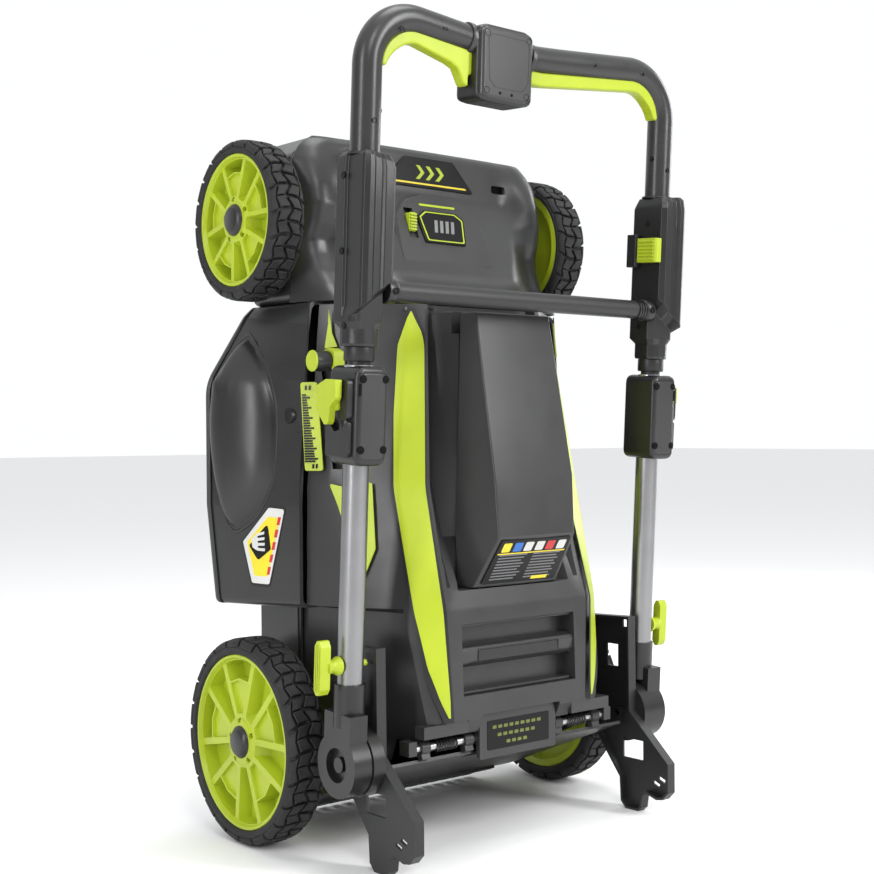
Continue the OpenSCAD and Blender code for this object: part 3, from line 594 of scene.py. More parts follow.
def wheel_pair(end, rad, rim_rad, w, pitches, face, f, u):
    """Both wheels of an axle. Their outer faces stand at face to the left and right of the middle."""
    rim, tyre, cap = rim_geo(rim_rad, w), tyre_geo(rad, rim_rad, w, pitches), cap_geo(w)
    for side, turn, x in (("left", SIDEWAYS_LEFT, w - face), ("right", SIDEWAYS, face - w)):
        node = end[0] + side[0]
        at, body = WORK @ T((x, f, u)) @ turn, "wheel_%s_%s" % (end, side)
        piece("rim_detail_" + node, rim, LIME, "lime", body, at, ("rim_" + node,), bevel=0.7, angle=25)
        piece("tyre_detail_" + node, tyre, RUBBER, "tread", body, at, ("tyre_" + node,), angle=30)
        piece("hub_cap_" + node, cap, DARK, "lime", body, at, bevel=0.5)


WHEELBASE, FRONT_AXLE_U = 644, -27
wheel_pair("rear", 127.0, 107.0, REAR_WIDTH, 24, 268, 0, 0)
wheel_pair("front", 100.0, 82.0, FRONT_WIDTH, 20, 255, WHEELBASE, FRONT_AXLE_U)

# ---- handle
TUBE_X = 235
BAR = (0, 541, 13)


def bolt(geo, place, facing, r=4.0):
    """Adds a recessed screw head at a place."""
    turn = Vector(facing).normalized().to_track_quat("Z", "Y").to_matrix().to_4x4()
    k = r / 4.0
    prof = [(4.0, -0.6), (4.0, 0.35), (3.5, 0.45), (3.25, 0.0), (2.75, 0.0), (2.6, 0.4), (1.35, 0.4),
            (1.25, -0.3)]
    prof = [(0.05, -0.6), *[(x * k, z) for x, z in prof], (0.05, -0.3)]
    geo.lathe(prof, 18, T(place) @ turn, closed=True)


# upper housings: a round sleeve below, which turns into the faceted grip section
SECTION = [(-254, -24), (-257, -21), (-257, -6), (-253.6, -3.5), (-253.6, 25), (-257, 27.5), (-256.4, 32.5),
           (-251, 36), (-244.5, 36), (-241.5, 32), (-232.5, 32), (-229.5, 36), (-219, 36), (-213, 30.5),
           (-213, -20), (-217, -24)]
SLEEVE = [(-254, -24), (-257, -21), (-257, -6), (-256.5, -3.5), (-256.5, 8), (-255.5, 12), (-252, 19),
          (-248, 20), (-244.5, 20), (-241.5, 20), (-232.5, 20), (-229.5, 20), (-219, 20), (-213, 12),
          (-213, -20), (-217, -24)]


def level(pts, s):
    """An outline at s, which is a number or a function of the point."""
    return [(x, s(x, n) if callable(s) else s, n) for x, n in pts]


def circled(pts, r, cn=-1):
    """The points moved onto a circle round the tube."""
    out = []
    for x, n in pts:
        d = Vector((x + TUBE_X, n - cn)).normalized() * r
        out.append((d.x - TUBE_X, cn + d.y))
    return out


g = Geo().loft([
    level(circled(SLEEVE, 20.5), 477), level(circled(SLEEVE, 21.5), 480), level(circled(SLEEVE, 21.5), 497),
    level(SLEEVE, 504), level(SLEEVE, lambda x, n: 510 + (x + 257) * 0.76),
    level(SECTION, lambda x, n: 520 + (x + 257) * 0.82), level(SECTION, 640), level(SECTION, 676),
    level(scaled(SECTION, 0.94, cx=-TUBE_X, cy=4), lambda x, n: 690 - 0.18 * (x + 257) + 0.08 * min(n, 0)),
    level(scaled(SECTION, 0.80, cx=-TUBE_X, cy=4), lambda x, n: 694 - 0.1 * (x + 257))])
saddle = [(203.2, -22), (203.2, -6), (206, -4.2), (213.4, -4.2), (213.4, -22)]
housings = sides(g).merge(Geo().prism(saddle, 598.4, 641.6, RAISE_Y))
on_handle("housing_shells", housings, DARK, "dark", replaces=("upper_housings",), bevel=0.9, angle=14)
g = Geo()
for prof in ([(13, 460.4), (16.6, 460.4), (17.4, 462), (17.4, 475), (16.8, 477.5), (13, 477.5)],
             [(17.1, 690), (20.2, 690), (20.8, 691.4), (20.2, 693.4), (17.1, 693.6)]):
    g.lathe(prof, 48, to_y(-TUBE_X), closed=True)
on_handle("housing_collars", sides(g), BLACK, "dark", bevel=0.5)
g = Geo()
for place, facing, r in (((-256.2, 500, -1), (-1, 0, 0), 4.4), ((-257.1, 583, -8), (-1, 0, 0), 4.4),
                         ((-257.1, 667, -8), (-1, 0, 0), 4.4), ((-213.2, 656, 6), (1, 0, 0), 4.2),
                         ((-213.2, 520, -4), (1, 0, 0), 4.2), ((-219, 500, 12.2), (0.6, 0, 0.8), 3.6),
                         ((-206.5, 541, 27.8), (0, 0, 1), 4.4)):
    bolt(g, place, facing, r)
on_handle("housing_screws", sides(g), SCREW, "black")

# cross bar
on_handle("cross_bar", Geo().lathe([(11.9, -212.5), (11.9, 212.5)], 48, to_x(*BAR)), COAT, "dark", angle=40)
boss = [(10, -213.5), (14.2, -213.5), (14.6, -212), (14.6, -203), (13.8, -200.6), (12.6, -199.4),
        (10, -199.4)]
on_handle("bar_bosses", sides(Geo().lathe(boss, 40, to_x(*BAR), closed=True)), DARK, "dark", bevel=0.4)
g = Geo()
for i in range(3):
    x0, x1 = 186 + i * 4.4, 189 + i * 4.4
    g.lathe([(12.0, x0), (13.4, x0), (13.4, x1), (12.0, x1)], 32, to_x(*BAR), closed=True)
on_handle("bar_grommet", g, BLACK, "dark")

# speed slider
g = Geo().prism(rounded(rect(202, -1.4, 212.4, 33.8), [1, 1, 1, 6]), 604.2, 635.8, RAISE_Y)
for i in range(6):
    g.box((200.5, 607 + i * 4.7, 1.5), (203, 609.4 + i * 4.7, 29))
on_handle("slider_block", g, LIME, "lime", "slider", replaces=("speed_slider",), bevel=0.8)

# clamps
g = Geo().prism(rounded(rect(-256.5, 343.5, -213.5, 455.5), 12, 6), -28, 29.4)
on_handle("clamp_left_body", g, DARK, "dark", "handle_lower", replaces=("clamps",), bevel=6.5, seg=5)
on_handle("clamp_right_body", g, DARK, "dark", "handle_lower", HANDLE @ FLIP, bevel=6.5, seg=5)
g = Geo().prism(rounded(rect(-251, 351, -218, 448), 8), 26, 29.95)
on_handle("clamp_faces", sides(g), GREY, "dark", "handle_lower", bevel=2.2, seg=4)
spring = [(3.2, 362), (9.2, 362), (10, 363), (10, 418), (9.2, 419.5), (3.2, 419.5)]
cheek = [(-22, 353), (18, 353), (22, 358), (22, 396), (12, 386), (-4, 381), (-16, 392), (-22, 398)]
g = Geo().lathe(spring, 40, to_y(-252.6, 0, 9), closed=True)
g.prism(rounded(cheek, 3, 3), -262.8, -250, RAISE_X)
g.prism(rounded(rect(4, 395, 22.4, 441), 6, 4), -264, -250, RAISE_X)
on_handle("clamp_brackets", sides(g), DARK, "dark", "handle_lower", bevel=1.6, seg=3)
# holes and a slot on the clamp faces, drawn as flat near-black discs and a block: painted shade
g = Geo()
hole = [(0.05, 27.5), (4.6, 27.5), (4.6, 30.15), (4.2, 30.25), (0.05, 30.05)]
for x, s in ((-248.5, 441), (-218.5, 441), (-249.5, 362), (-219.5, 362)):
    g.lathe(hole, 20, T((x, s, 0)), closed=True)
g.box((-253.5, 422, 27.6), (-250.6, 436, 29.9))
on_handle("clamp_holes", sides(g), PAINTED_HOLE_SHADE, "black", "handle_lower")
ring = [(13.2, 452), (17, 452), (17, 455.4), (16.2, 456.3), (13.2, 456.3)]
g = Geo().lathe(ring, 48, to_y(-TUBE_X), closed=True)
on_handle("clamp_rings", sides(g), STEEL, "alu", "handle_lower")


def both_levers(name, geo, body, node, **finish):
    """A lime control on the left tube and its mirror image on the right one."""
    for side, m in (("left", HANDLE), ("right", HANDLE @ FLIP)):
        on_handle("%s_%s_detail" % (name, side), geo, LIME, "lime", "%s_%s" % (body, side), m,
                  replaces=("%s_%s" % (node, side[0]),), **finish)


paddle = [(-23.8, 432), (-23.8, 405), (-7, 389), (-2, 389), (1, 393), (3, 409), (12, 417), (13.8, 420),
          (13.8, 439.6), (-6, 439.6)]
g = Geo().prism(rounded(paddle, 1.8, 3), -274.8, -266, RAISE_X)
g.prism(rounded(rect(-12, 405, 8, 434), 4, 4), -267, -258, RAISE_X)
both_levers("cam_lever", g, "cam", "cam_lever", bevel=1.8, seg=3)
wing = [(-31, -2.6), (-24, -6.6), (24, -6.6), (31, -2.6), (31, 2.6), (24, 6.6), (-24, 6.6), (-31, 2.6)]
knob = T((0, 115, 0))
g = Geo().prism(rounded(wing, 2, 3), -279.5, -266, knob @ SIDEWAYS)
for n in (-3.6, 0, 3.6):
    g.prism(rounded(rect(-27, n - 0.9, 27, n + 0.9), 0.8, 2), -280.6, -279, knob @ SIDEWAYS)
neck = [(0.2, 250.6), (10.8, 250.6), (10.8, 254), (8.2, 258), (7.6, 262), (9.4, 266.5), (9.4, 268),
        (0.2, 268)]
g.lathe(neck, 32, to_x(0, 115, 0, -QUARTER))
g.lathe([(0.2, 214), (3.9, 214), (3.9, 251), (0.2, 251)], 20, to_x(0, 115, 0, -QUARTER))
both_levers("tee_knob", g, "tee", "tee_knob", bevel=1.0)

# grip tube: up both sides, round the bends and down to a dip in the middle
BEND_S, BEND_X, BEND_R = 791.0, 175, 60
DIP = math.atan(15.5 / 170)


def bend(a, r=BEND_R):
    """Point of the left bend at an angle."""
    return -BEND_X + r * math.cos(a), BEND_S + r * math.sin(a)


def grip_line():
    pts = [(-TUBE_X, 616 + i * 12.5) for i in range(14)] + [(-TUBE_X, BEND_S)]
    pts += [bend(math.pi - (QUARTER + DIP) * k / 16) for k in range(1, 17)]
    x0, s0 = pts[-1]
    for k in range(1, 12):
        x = x0 * (1 - k / 12)
        pts.append((x, s0 - (x - x0) * math.tan(DIP) + 1.2 * (k / 12) ** 6))
    return pts + [(0, s0 + x0 * math.tan(DIP) + 1.6)] + [(-x, s) for x, s in pts[::-1]]


g = Geo().tube([(x, s, 0) for x, s in grip_line()], 16.9, 40)
on_handle("grip_tube_detail", g, GRIP, "black_steel", "grip", replaces=("grip_tube",), angle=50)
g = Geo()
for x, s in ((-200, 833.5), (-140, 846.5), (96, 844.5), (182, 847)):
    bolt(g, (x, s, 16.6), (0, 0.25, 1), 3.6)
for side in (-1, 1):
    bolt(g, (side * TUBE_X, 728, 16.7), (0, 0, 1), 3.6)
for side in (-1, 1):
    bolt(g, (side * 218.4, 742, 3), (-side, 0, 0), 3.6)
on_handle("grip_screws", g, SCREW, "black", "grip")

# bail: a blade under the grip, with a wide hand piece to the left of the console
lower, upper = [], []
for k in range(15):
    a = math.radians(178) - (QUARTER - math.radians(2) + DIP * 0.6) * k / 14
    lower.append(bend(a, 39.5 - 7.5 * math.sin(min(1, k / 9) * math.pi / 2)))
    upper.append(bend(a, 46.6))
middle = BEND_S + BEND_R * math.cos(DIP) - (BEND_X - BEND_R * math.sin(DIP)) * math.tan(DIP)
hand = [(-124, 24.4), (-114, 28.5), (-108.5, 38), (-104, 46.5), (-98, 48.4), (-97.4, 34), (-16, 30.4),
        (16, 30.4)]
outline = (lower + [(x, middle - drop) for x, drop in hand] + [(-x, s) for x, s in lower[::-1]]
           + [(-x, s) for x, s in upper] + [(16, middle - 13.4), (-16, middle - 13.4)] + upper[::-1])
on_handle("bail_detail", Geo().prism(outline, -8.8, 8.8), LIME, "lime", "bail_bar", replaces=("bail",),
          bevel=3.0, seg=5, angle=40)

# console
shell = [(-94.6, 774), (-80, 772.4), (-24, 772.4), (-8.4, 776), (-8.4, 858), (-22, 862.6), (-80, 862.6),
         (-94.6, 858)]
g = Geo().prism(rounded(shell, [14, 10, 10, 18, 16, 12, 12, 16], 6), -21.6, 21.5)
on_handle("console_body", g, DARK, "dark", "grip", replaces=("console",), bevel=8, seg=6)
panel = [(-89, 779), (-80, 776), (-22, 776), (-12, 784), (-12, 853), (-20, 859), (-84, 859), (-90, 853)]
g = Geo().prism(rounded(panel, [8, 8, 12, 10, 10, 8, 8, 8]), 14.5, 23.7)
on_handle("console_panel", g, GREY, "dark", "grip", bevel=4.2, seg=5)
seam = rounded([(-79, 798), (-70, 789), (-28, 789), (-18.5, 800), (-18.5, 851), (-82, 851)],
               [3, 6, 6, 6, 8, 8])
inside = scaled(seam, 0.972, cx=-49, cy=820)
rings = [[(x, s, n) for x, s in pts]
         for pts, n in ((seam, 23.2), (seam, 23.95), (inside, 23.95), (inside, 23.2), (seam, 23.2))]
on_handle("console_seam", Geo().loft(rings, cap=False), BLACK, "dark", "grip")
# screw recesses and two small holes on the console panel, drawn in near-black: painted shade of the recesses
g = Geo()
for x, s, r in ((-83, 851, 4.2), (-82, 784.5, 4.0), (-21, 784.5, 4.0), (-19, 851, 4.0)):
    g.lathe([(0.05, 20.5), (r, 20.5), (r, 23.85), (r - 0.4, 23.98), (r - 0.9, 23.2), (0.05, 23.2)], 20,
            T((x, s, 0)), closed=True)
for x in (-62, -44):
    g.lathe([(0.05, 22), (1.9, 22), (1.9, 23.95), (0.05, 23.95)], 12, T((x, 783.5, 0)))
on_handle("console_screws", g, PAINTED_HOLE_SHADE, "black", "grip")
collar = [(16.5, -4), (18.8, -4), (19.4, -3), (19.4, 3), (18.6, 4), (16.5, 4)]
g = Geo()
for x in (-95.5, -3.5):
    place = (x, BEND_S + 59.7 + (-169.6 - x) * math.tan(DIP), 0)
    g.lathe(collar, 48, T(place) @ R(-DIP, 4, "Z") @ R(QUARTER, 4, "Y"), closed=True)
on_handle("grip_collars", g, GREY, "dark", "grip", bevel=0.5)

# ---- deck shell
# outlines of the main deck at its lower and upper edge
LOW = mirrored([(-258, 165), (-270, 290), (-270, 442), (-216, 528), (-203, 540.6)])
HIGH = mirrored([(-216, 165), (-216.3, 290), (-208.4, 442), (-203.4, 512), (-200, 540.6)])
DECK_BOTTOM, DECK_DEPTH = -66, 127.8
SPINDLE_F = 335


def inset(pts, d):
    return [(x - math.copysign(d, x), min(max(y, 165 + d), 540.6 - d)) for x, y in pts]


def deck_ring(u, d=0.0):
    """Outline of the main deck at height u, moved inward by d."""
    t = (u - DECK_BOTTOM) / DECK_DEPTH
    pts = [(a + (c - a) * t, b + (e - b) * t) for (a, b), (c, e) in zip(inset(LOW, d), inset(HIGH, d))]
    return [(x, y, u) for x, y in rounded(pts, [10, 60, 60, 26, 10, 10, 26, 60, 60, 10], 6)]


front_window = Geo().box((-152, 530, -80), (152, 560, -30))
cuts = [Geo().loft([deck_ring(u, 4.0) for u in (-70, -40, 0, 16)]),
        Geo().loft([deck_ring(u, 4.0) for u in (20, 40, 66)]),
        Geo().lathe([(0.5, 10), (34, 10), (34, 26), (0.5, 26)], 48, T((0, SPINDLE_F, 0))),
        Geo().box((-120, 100, 10), (120, 200, 25)), Geo().box((-150, 150, -46), (150, 200, 14)),
        Geo().box((-191, 150, -80), (191, 200, -30)), front_window]
for k in range(4):
    a = math.radians(45 + 90 * k)
    place = T((46 * math.cos(a), SPINDLE_F + 46 * math.sin(a), 0))
    cuts.append(Geo().lathe([(0.5, 10), (4.2, 10), (4.2, 26), (0.5, 26)], 16, place))
g = carved(Geo().loft([deck_ring(u) for u in (-66, -60, -40, -20, 0, 20, 40, 56, 61.8)]), cuts)
piece("deck_body", g, DECK, "dark", replaces=("deck_shell",), bevel=1.6, seg=3, angle=30)
bore = [(HUB_BORE, -220), (HUB_BORE, 220)]
g = carved(Geo().prism(rounded(mirrored([(-203, 541), (-200, 725), (-170, 752)]), 14), -66, 21.4),
           [front_window, Geo().prism(mirrored([(-199, 545), (-196, 723), (-168, 748)]), -70, 40),
            Geo().lathe(bore, 24, to_x(0, WHEELBASE, FRONT_AXLE_U))])
piece("deck_nose", g, DECK, "dark", bevel=2.5, seg=4)
g = carved(Geo().prism(rounded(mirrored([(-195, 169), (-195, -50), (-170, -74)]), 10), -66, 21.4),
           [Geo().prism(mirrored([(-191, 172), (-191, -48), (-168, -70)]), -70, 40),
            Geo().box((-150, -90, -46), (150, -50, 30)), Geo().lathe(bore, 24, to_x())])
piece("deck_rear", g, DECK, "dark", bevel=1.0, seg=3)
g = Geo()
for side in (-1, 1):
    g.box((side * 192.4 - 1.4, -44, 12), (side * 192.4 + 1.4, 163, 27))
    g.box((side * 199.5 - 1.2, 548, 12), (side * 199.5 + 1.2, 722, 22))
piece("seam_gaskets", g, BLACK, "dark")
start = math.acos(157 / 258)
turns = [start + i * (math.pi - 2 * start) / 40 for i in range(41)]
pts = [(r * math.cos(a), SPINDLE_F + r * math.sin(a))
       for r, way in ((259.9, 1), (256, -1)) for a in turns[::way]]
piece("deck_baffle", Geo().prism(pts, -65.8, 16), DECK, "dark", bevel=0.6)
outer, inner = deck_ring(-66), deck_ring(-66, 4.0)
levels = ((outer, 0, -65.9), (outer, 1.6, -65.4), (outer, 1.6, -61), (outer, -0.5, -59), (inner, 0, -61),
          (inner, 0, -65.9), (outer, 0, -65.9))
rings = [[(x + dx * math.copysign(1, x), y, z) for x, y, _ in ring] for ring, dx, z in levels]
piece("deck_lip", Geo().loft(rings, cap=False), DECK, "dark", bevel=0.6)
g = Geo().lathe([(0.3, -221.5), (8.9, -221.5), (8.9, -188.2), (0.3, -188.2)], 28, to_x(0, 400, 45))
g.lathe([(0.3, -188.5), (3.95, -188.5), (3.95, -180.2), (0.3, -180.2)], 20, to_x(0, 400, 45))
piece("lever_pin", g, DARK, "dark", bevel=0.4)


def wall_x(f, u):
    """x of the left wall of the main deck."""
    t = (u - DECK_BOTTOM) / DECK_DEPTH
    low = line([(165, 258), (290, 270), (442, 270), (528, 216), (545, 203)], f)
    return -(low * (1 - t) + line([(165, 216), (313, 216), (541, 200)], f) * t)


def smooth_loop(pts, n):
    """A smooth closed curve through the points, with n steps from each to the next."""
    out = []
    count = len(pts)
    for i in range(count):
        p0, p1, p2, p3 = (Vector(pts[(i + j - 1) % count]) for j in range(4))
        for q in range(n):
            t = q / n
            c = 0.5 * ((2 * p1) + (p2 - p0) * t + (2 * p0 - 5 * p1 + 4 * p2 - p3) * t * t
                       + (3 * p1 - p0 - 3 * p2 + p3) * t ** 3)
            out.append((c.x, c.y))
    return out


leaf = smooth_loop([(500, -40), (480, -12), (450, 13), (415, 25), (370, 28), (322, 24), (288, 9), (268, -12),
                    (262, -33), (296, -46), (346, -55), (396, -58), (440, -55), (478, -50)], 6)
rings = []
levels = ((1.06, -2.5), (1.05, 0.9), (1.02, 1.1), (1.0, -1.6), (0.985, -1.2), (0.96, 3.2), (0.92, 6.8),
          (0.86, 10.2), (0.78, 13.2), (0.68, 15.6), (0.56, 17.6), (0.42, 19.2), (0.28, 20.2), (0.14, 20.7))
for k, height in levels:
    ring = [(f, max(u, -61.5)) for f, u in scaled(leaf, k, cx=378, cy=-17)]
    rings.append([(wall_x(f, u) - height, f, u) for f, u in ring])
back = [(wall_x(f, u) + 2.5, f, u) for _, f, u in rings[0]]
piece("side_bulges", sides(Geo().loft([back] + rings)), DECK, "dark", angle=38)


def decal(outline, surface, top):
    """A plate on a surface that gives x at (f, u). It stands out by top and goes 1.2 in."""
    high, low = [], []
    for f, u in outline:
        p = Vector((surface(f, u), f, u))
        n = Vector((-1, surface(f + 0.5, u) - surface(f - 0.5, u), surface(f, u + 0.5) - surface(f, u - 0.5)))
        n = n.normalized()
        high.append(p + n * top)
        low.append(p - n * 1.2)
    return Geo().loft([low, high])


def shrunk(pts, k):
    """An outline scaled about its middle."""
    cx, cy = (sum(p[i] for p in pts) / len(pts) for i in (0, 1))
    return scaled(pts, k, cx=cx, cy=cy)


# five-sided warning plate with generic signs only
plate = [(291, 21), (289, 44), (189, 17.5), (190, -10), (245, -20.5)]
field = [(282, 20), (281, 38.5), (196, 15.5), (196.5, -7), (245, -16)]
g = decal(rounded(plate, 4, 4), wall_x, 0.8)
piece("side_label_border", g, BLACK, "label_black", replaces=("side_label",))
g = decal(rounded(shrunk(plate, 0.93), 3.5, 4), wall_x, 0.95)
piece("side_label_white", g, WHITE, "label_yellow")
g = decal(rounded(shrunk(field, 0.86), 3, 4), wall_x, 1.05)
piece("side_label_yellow", g, YELLOW, "label_yellow")
g = Geo()
for k in range(5):
    corners = ((0, 36.6), (9.6, 34.1), (9.6, 30.3), (0, 32.8))
    g.merge(decal([(276 - k * 15.4 - f, u - k * 4.1) for f, u in corners], wall_x, 1.15))
piece("side_label_bars", g, RED, "label_yellow")
g = decal(rounded([(268, 18), (236, 21), (222, 2), (240, -10)], 3, 3), wall_x, 1.15)
piece("side_label_sign", g, FILM, "label_black")
g = Geo()
for k in range(4):
    stroke = [(258 - k * 7, 13), (254.5 - k * 7, 12.5), (252 - k * 6, 2), (255.5 - k * 6, 2)]
    g.merge(decal(stroke, wall_x, 1.25))
g.merge(decal(rounded([(256, 3), (233, 3), (238, -5), (248, -6)], 2, 3), wall_x, 1.25))
piece("side_label_mark", g, WHITE, "label_yellow")

# ---- hood
# lines along the hood, each with keys (f, distance from the middle) and keys (f, height)
BASE = ([(-73, 195), (33, 195), (164.95, 195), (165.05, 216), (313, 216), (541, 200)],
        [(-73, 19.4), (164.95, 19.4), (165.05, 62), (541, 62)])
EDGE, OUTER, INNER = ([list(zip((-73, 2, 33, 165, 313, 541), values)) for values in pair] for pair in (
    ((190, 142, 142, 154, 152, 120), (21, 205, 216, 187, 156, 138)),
    ((180, 134, 134, 146, 144, 112), (22, 210, 222, 199, 166, 146)),
    ((170, 110, 110, 117, 112, 96), (23, 211, 228, 223, 180, 156))))


def on_line(keys, f):
    return line(keys[0], f), line(keys[1], f)


def bow(f):
    """How far the slope below the edge line swells outward."""
    return line([(-73, 0), (20, 3), (165, 5), (541, 3)], f)


def hood_ring(f, d=0.0, low=0.0):
    """A section of the hood, moved inward by d, with its ends lowered by low."""
    (bx, bz), (ex, ez), (ox, oz), (ix, iz) = (on_line(keys, f) for keys in (BASE, EDGE, OUTER, INNER))
    dip = line([(186, 0), (200, 3), (250, 13), (330, 17), (500, 17), (541, 12)], f)
    middle = (line([(189, 76), (526, 69)], f) if f < 530 else 72,
              189.4 if 189.45 < f < 530 else iz - 0.6 - dip)
    half = [(bx, bz), (bx + (ex - bx) * 0.33 + bow(f) * 0.8, bz + (ez - bz) * 0.33),
            (bx + (ex - bx) * 0.66 + bow(f), bz + (ez - bz) * 0.66), (ex, ez), (ox, oz), (ix, iz),
            (ix - 6, iz - 0.4), (ix - 12 if dip > 1 else ix - 9, iz - 0.4 - dip * 0.9),
            (93 if f < 530 else ix - 16, iz - 0.5 - dip), middle]
    half = [(-(x - d), f, z - d) for x, z in half]
    half[0] = (half[0][0], f, half[0][2] - low)
    return half + [(-x, y, z) for x, y, z in half[::-1]]


hood = Geo().loft([hood_ring(f) for f in (
    -73, -55, -30, -8, 2, 16, 33, 62, 100, 148, 164.9, 165.1, 186, 189.4, 189.6, 215, 235, 252, 270, 290,
    313, 340, 370, 400, 430, 460, 485, 510, 529.9, 530.1, 541)])
cuts = [Geo().loft([hood_ring(f, 4, 12) for f in (
    -66, -30, 2, 33, 100, 164, 169, 188, 193, 252, 313, 400, 500, 526, 533, 537)])]
for a, b in (((-70, 500, 176), (70, 529, 230)), ((-150, -80, 24), (150, 12, 188)),
             ((-91, 62, 190), (91, 148, 260)), ((-62.5, -80, 206), (62.5, 37, 260)),
             ((-168, -80, 192), (168, 16, 260)), ((-150, 16, 204), (-84, 33.2, 260)),
             ((84, 16, 204), (150, 33.2, 260)), ((-188.6, 335, 60), (-181.4, 478, 140)),
             ((-52, 304, 92), (52, 514, 196)), ((-56, 218, 176), (56, 296, 196))):
    cuts.append(Geo().box(a, b))
piece("hood_shell", carved(hood, cuts), GREY, "grey", replaces=("top_cowl",), bevel=1.0, seg=3, angle=26)


def along_hood(f, w):
    """Point and normal on the left of the hood, at the edge line (w 0), outer line (1) or inner line (2)."""
    def at(f, w):
        places = (on_line(keys, f) for keys in (EDGE, OUTER, INNER))
        edge, outer, inner = (Vector((-x, f, z)) for x, z in places)
        return edge.lerp(outer, w) if w < 1 else outer.lerp(inner, w - 1)

    n = (at(f, min(w + 0.05, 2)) - at(f, max(w - 0.05, 0))).cross(at(f + 1, w) - at(f - 1, w))
    n.normalize()
    return at(f, w), n if n.z > 0 else -n


def ribbons(fs, outer, inner, height):
    """A strip on each side of the hood. Its two edges are keys (f, w), and it stands out by height."""
    rings = []
    for f in fs:
        a, b = line(outer, f), line(inner, f)
        top, bottom = [], []
        for q in range(9):
            p, n = along_hood(f, a + (b - a) * q / 8)
            top.append(p + n * height)
            bottom.append(p - n)
        rings.append(top + bottom[::-1])
    return sides(Geo().loft(rings))


g = ribbons([40 + i * (487 / 60) for i in range(61)],
            [(40, 1.75), (60, 1.45), (100, 1.12), (165, 1.0), (313, 0.55), (400, 0.12), (485, 0.08),
             (500, 0.45), (527, 1.15)], [(40, 1.85), (60, 1.9), (485, 1.96), (500, 1.85), (527, 1.2)], 0.55)
piece("stripe_ribbons", g, LIME, "lime", replaces=("stripes",), angle=30)
g = ribbons([34 + i * 8.3 for i in range(60)] + [531],
            [(34, 1.5), (60, 1.15), (100, 0.85), (165, 0.7), (313, 0.3), (400, 0.02), (485, 0.02), (500, 0.3),
             (531, 1.0)], [(34, 1.98), (500, 1.99), (531, 1.4)], 0.18)
piece("stripe_beds", g, BLACK, "dark", angle=30)


def slope_x(f, u):
    """x of the left slope of the hood, below its edge line."""
    (bx, bz), (ex, ez) = on_line(BASE, f), on_line(EDGE, f)
    t = (u - bz) / (ez - bz)
    return -(bx + (ex - bx) * t + line([(0, 0), (0.33, bow(f) * 0.8), (0.66, bow(f)), (1, 0)], t))


def tick(f, low, high, half):
    """One mark of the height scale."""
    return decal([(f + half, low), (f + half, high), (f - half, high), (f - half, low)], slope_x, 2.7)


accent = [(318, 96), (314.5, 109), (319, 140), (240, 151), (203, 141), (240, 125), (291, 107)]
g = decal(rounded(accent, 2, 3), slope_x, 0.9)
g.merge(decal([(530, 80), (512, 80.5), (482, 79), (484, 91), (500, 85)], slope_x, 0.9))
piece("side_accents", sides(g), LIME, "lime", replaces=("accents",), bevel=0.4)
g = decal(rounded([(441, 57.5), (441, 74), (333, 88), (333, 67.5)], 3, 3), slope_x, 1.1)
piece("scale_plate", g, LIME, "lime", replaces=("height_scale",), bevel=0.3)
g = Geo()
for k in range(27):
    f = 425 - k * 3.1
    base = line([(333, 68.5), (441, 58.6)], f)
    reach = (4.2 + 7.5 * k / 27) + (3.4 if k % 4 == 1 else 0)
    g.merge(tick(f, base, base + reach, 1.05))
for f, u in ((434, 63.5), (434, 67.5), (338.5, 77), (338.5, 81)):
    g.merge(tick(f, u - 0.9, u + 0.9, 2.6))
piece("scale_marks", g, FILM, "label_black")
# seam line between deck and hood
g = Geo()
for side in (-1, 1):
    g.tube([(side * (line(BASE[0], f) + 0.2), f, 62) for f in range(168, 541, 12)], 0.9, 8)
piece("deck_seams", g, BLACK, "dark")

# ---- nose
# heights along the middle of the nose and along its shoulder
CREST = [(541, 150), (552, 140), (562, 125), (572, 106), (581, 95), (600, 85), (624, 74), (646, 62),
         (669, 50), (685, 41.5), (695, 38), (730, 37), (747, 34), (753, 28)]
SHOULDER = [(541, 92), (560, 72), (580, 57), (605, 46), (621, 43), (640, 51), (665, 56), (690, 52), (715, 43),
            (734, 35), (747, 30), (753, 25)]
HALF_WIDTH, SHOULDER_X = 202, 168


def nose_w(f):
    return line([(541, HALF_WIDTH), (700, 201), (722, 198), (738, 188), (747, 178), (753, 168)], f)


def nose_z(x, f, d=0.0):
    crest, shoulder = line(CREST, f), line(SHOULDER, f)
    a = abs(x) * HALF_WIDTH / nose_w(f)
    reach = line([(541, 60), (580, 95), (620, 112), (753, 128)], f)
    if a < reach:
        return crest - 1.5 * (a / reach) ** 2 - d
    if a < SHOULDER_X:
        t = (a - reach) / (SHOULDER_X - reach)
        return crest - 1.5 + (shoulder - crest + 1.5) * (t * t * (3 - 2 * t)) - d
    t = min(1, (a - SHOULDER_X) / 34)
    return 20 + (shoulder - 20) * max(0, 1 - t ** 2.6) - d * (1 - t)


def nose_geo(f0, f1, n, d=0.0, low=20.0, m=56):
    """The nose between two places forward, in n steps along and m across, moved inward by d."""
    steps = (0.12, 0.25, 0.38, 0.5, 0.61, 0.71, 0.8, 0.87, 0.93, 0.97, 0.995)
    flank = [(SHOULDER_X + 34 * t) / HALF_WIDTH for t in steps]
    across = ([-k for k in flank[::-1]]
              + [(2 * k / m - 1) * SHOULDER_X / HALF_WIDTH for k in range(m + 1)] + flank)
    rings = []
    for i in range(n + 1):
        f = f0 + (f1 - f0) * i / n
        w = nose_w(f) - d
        top = [(k * w, f, max(nose_z(k * w, f, d), low + 0.2)) for k in across]
        rings.append([(-w, f, low), *top, (w, f, low)])
    return Geo().loft(rings)


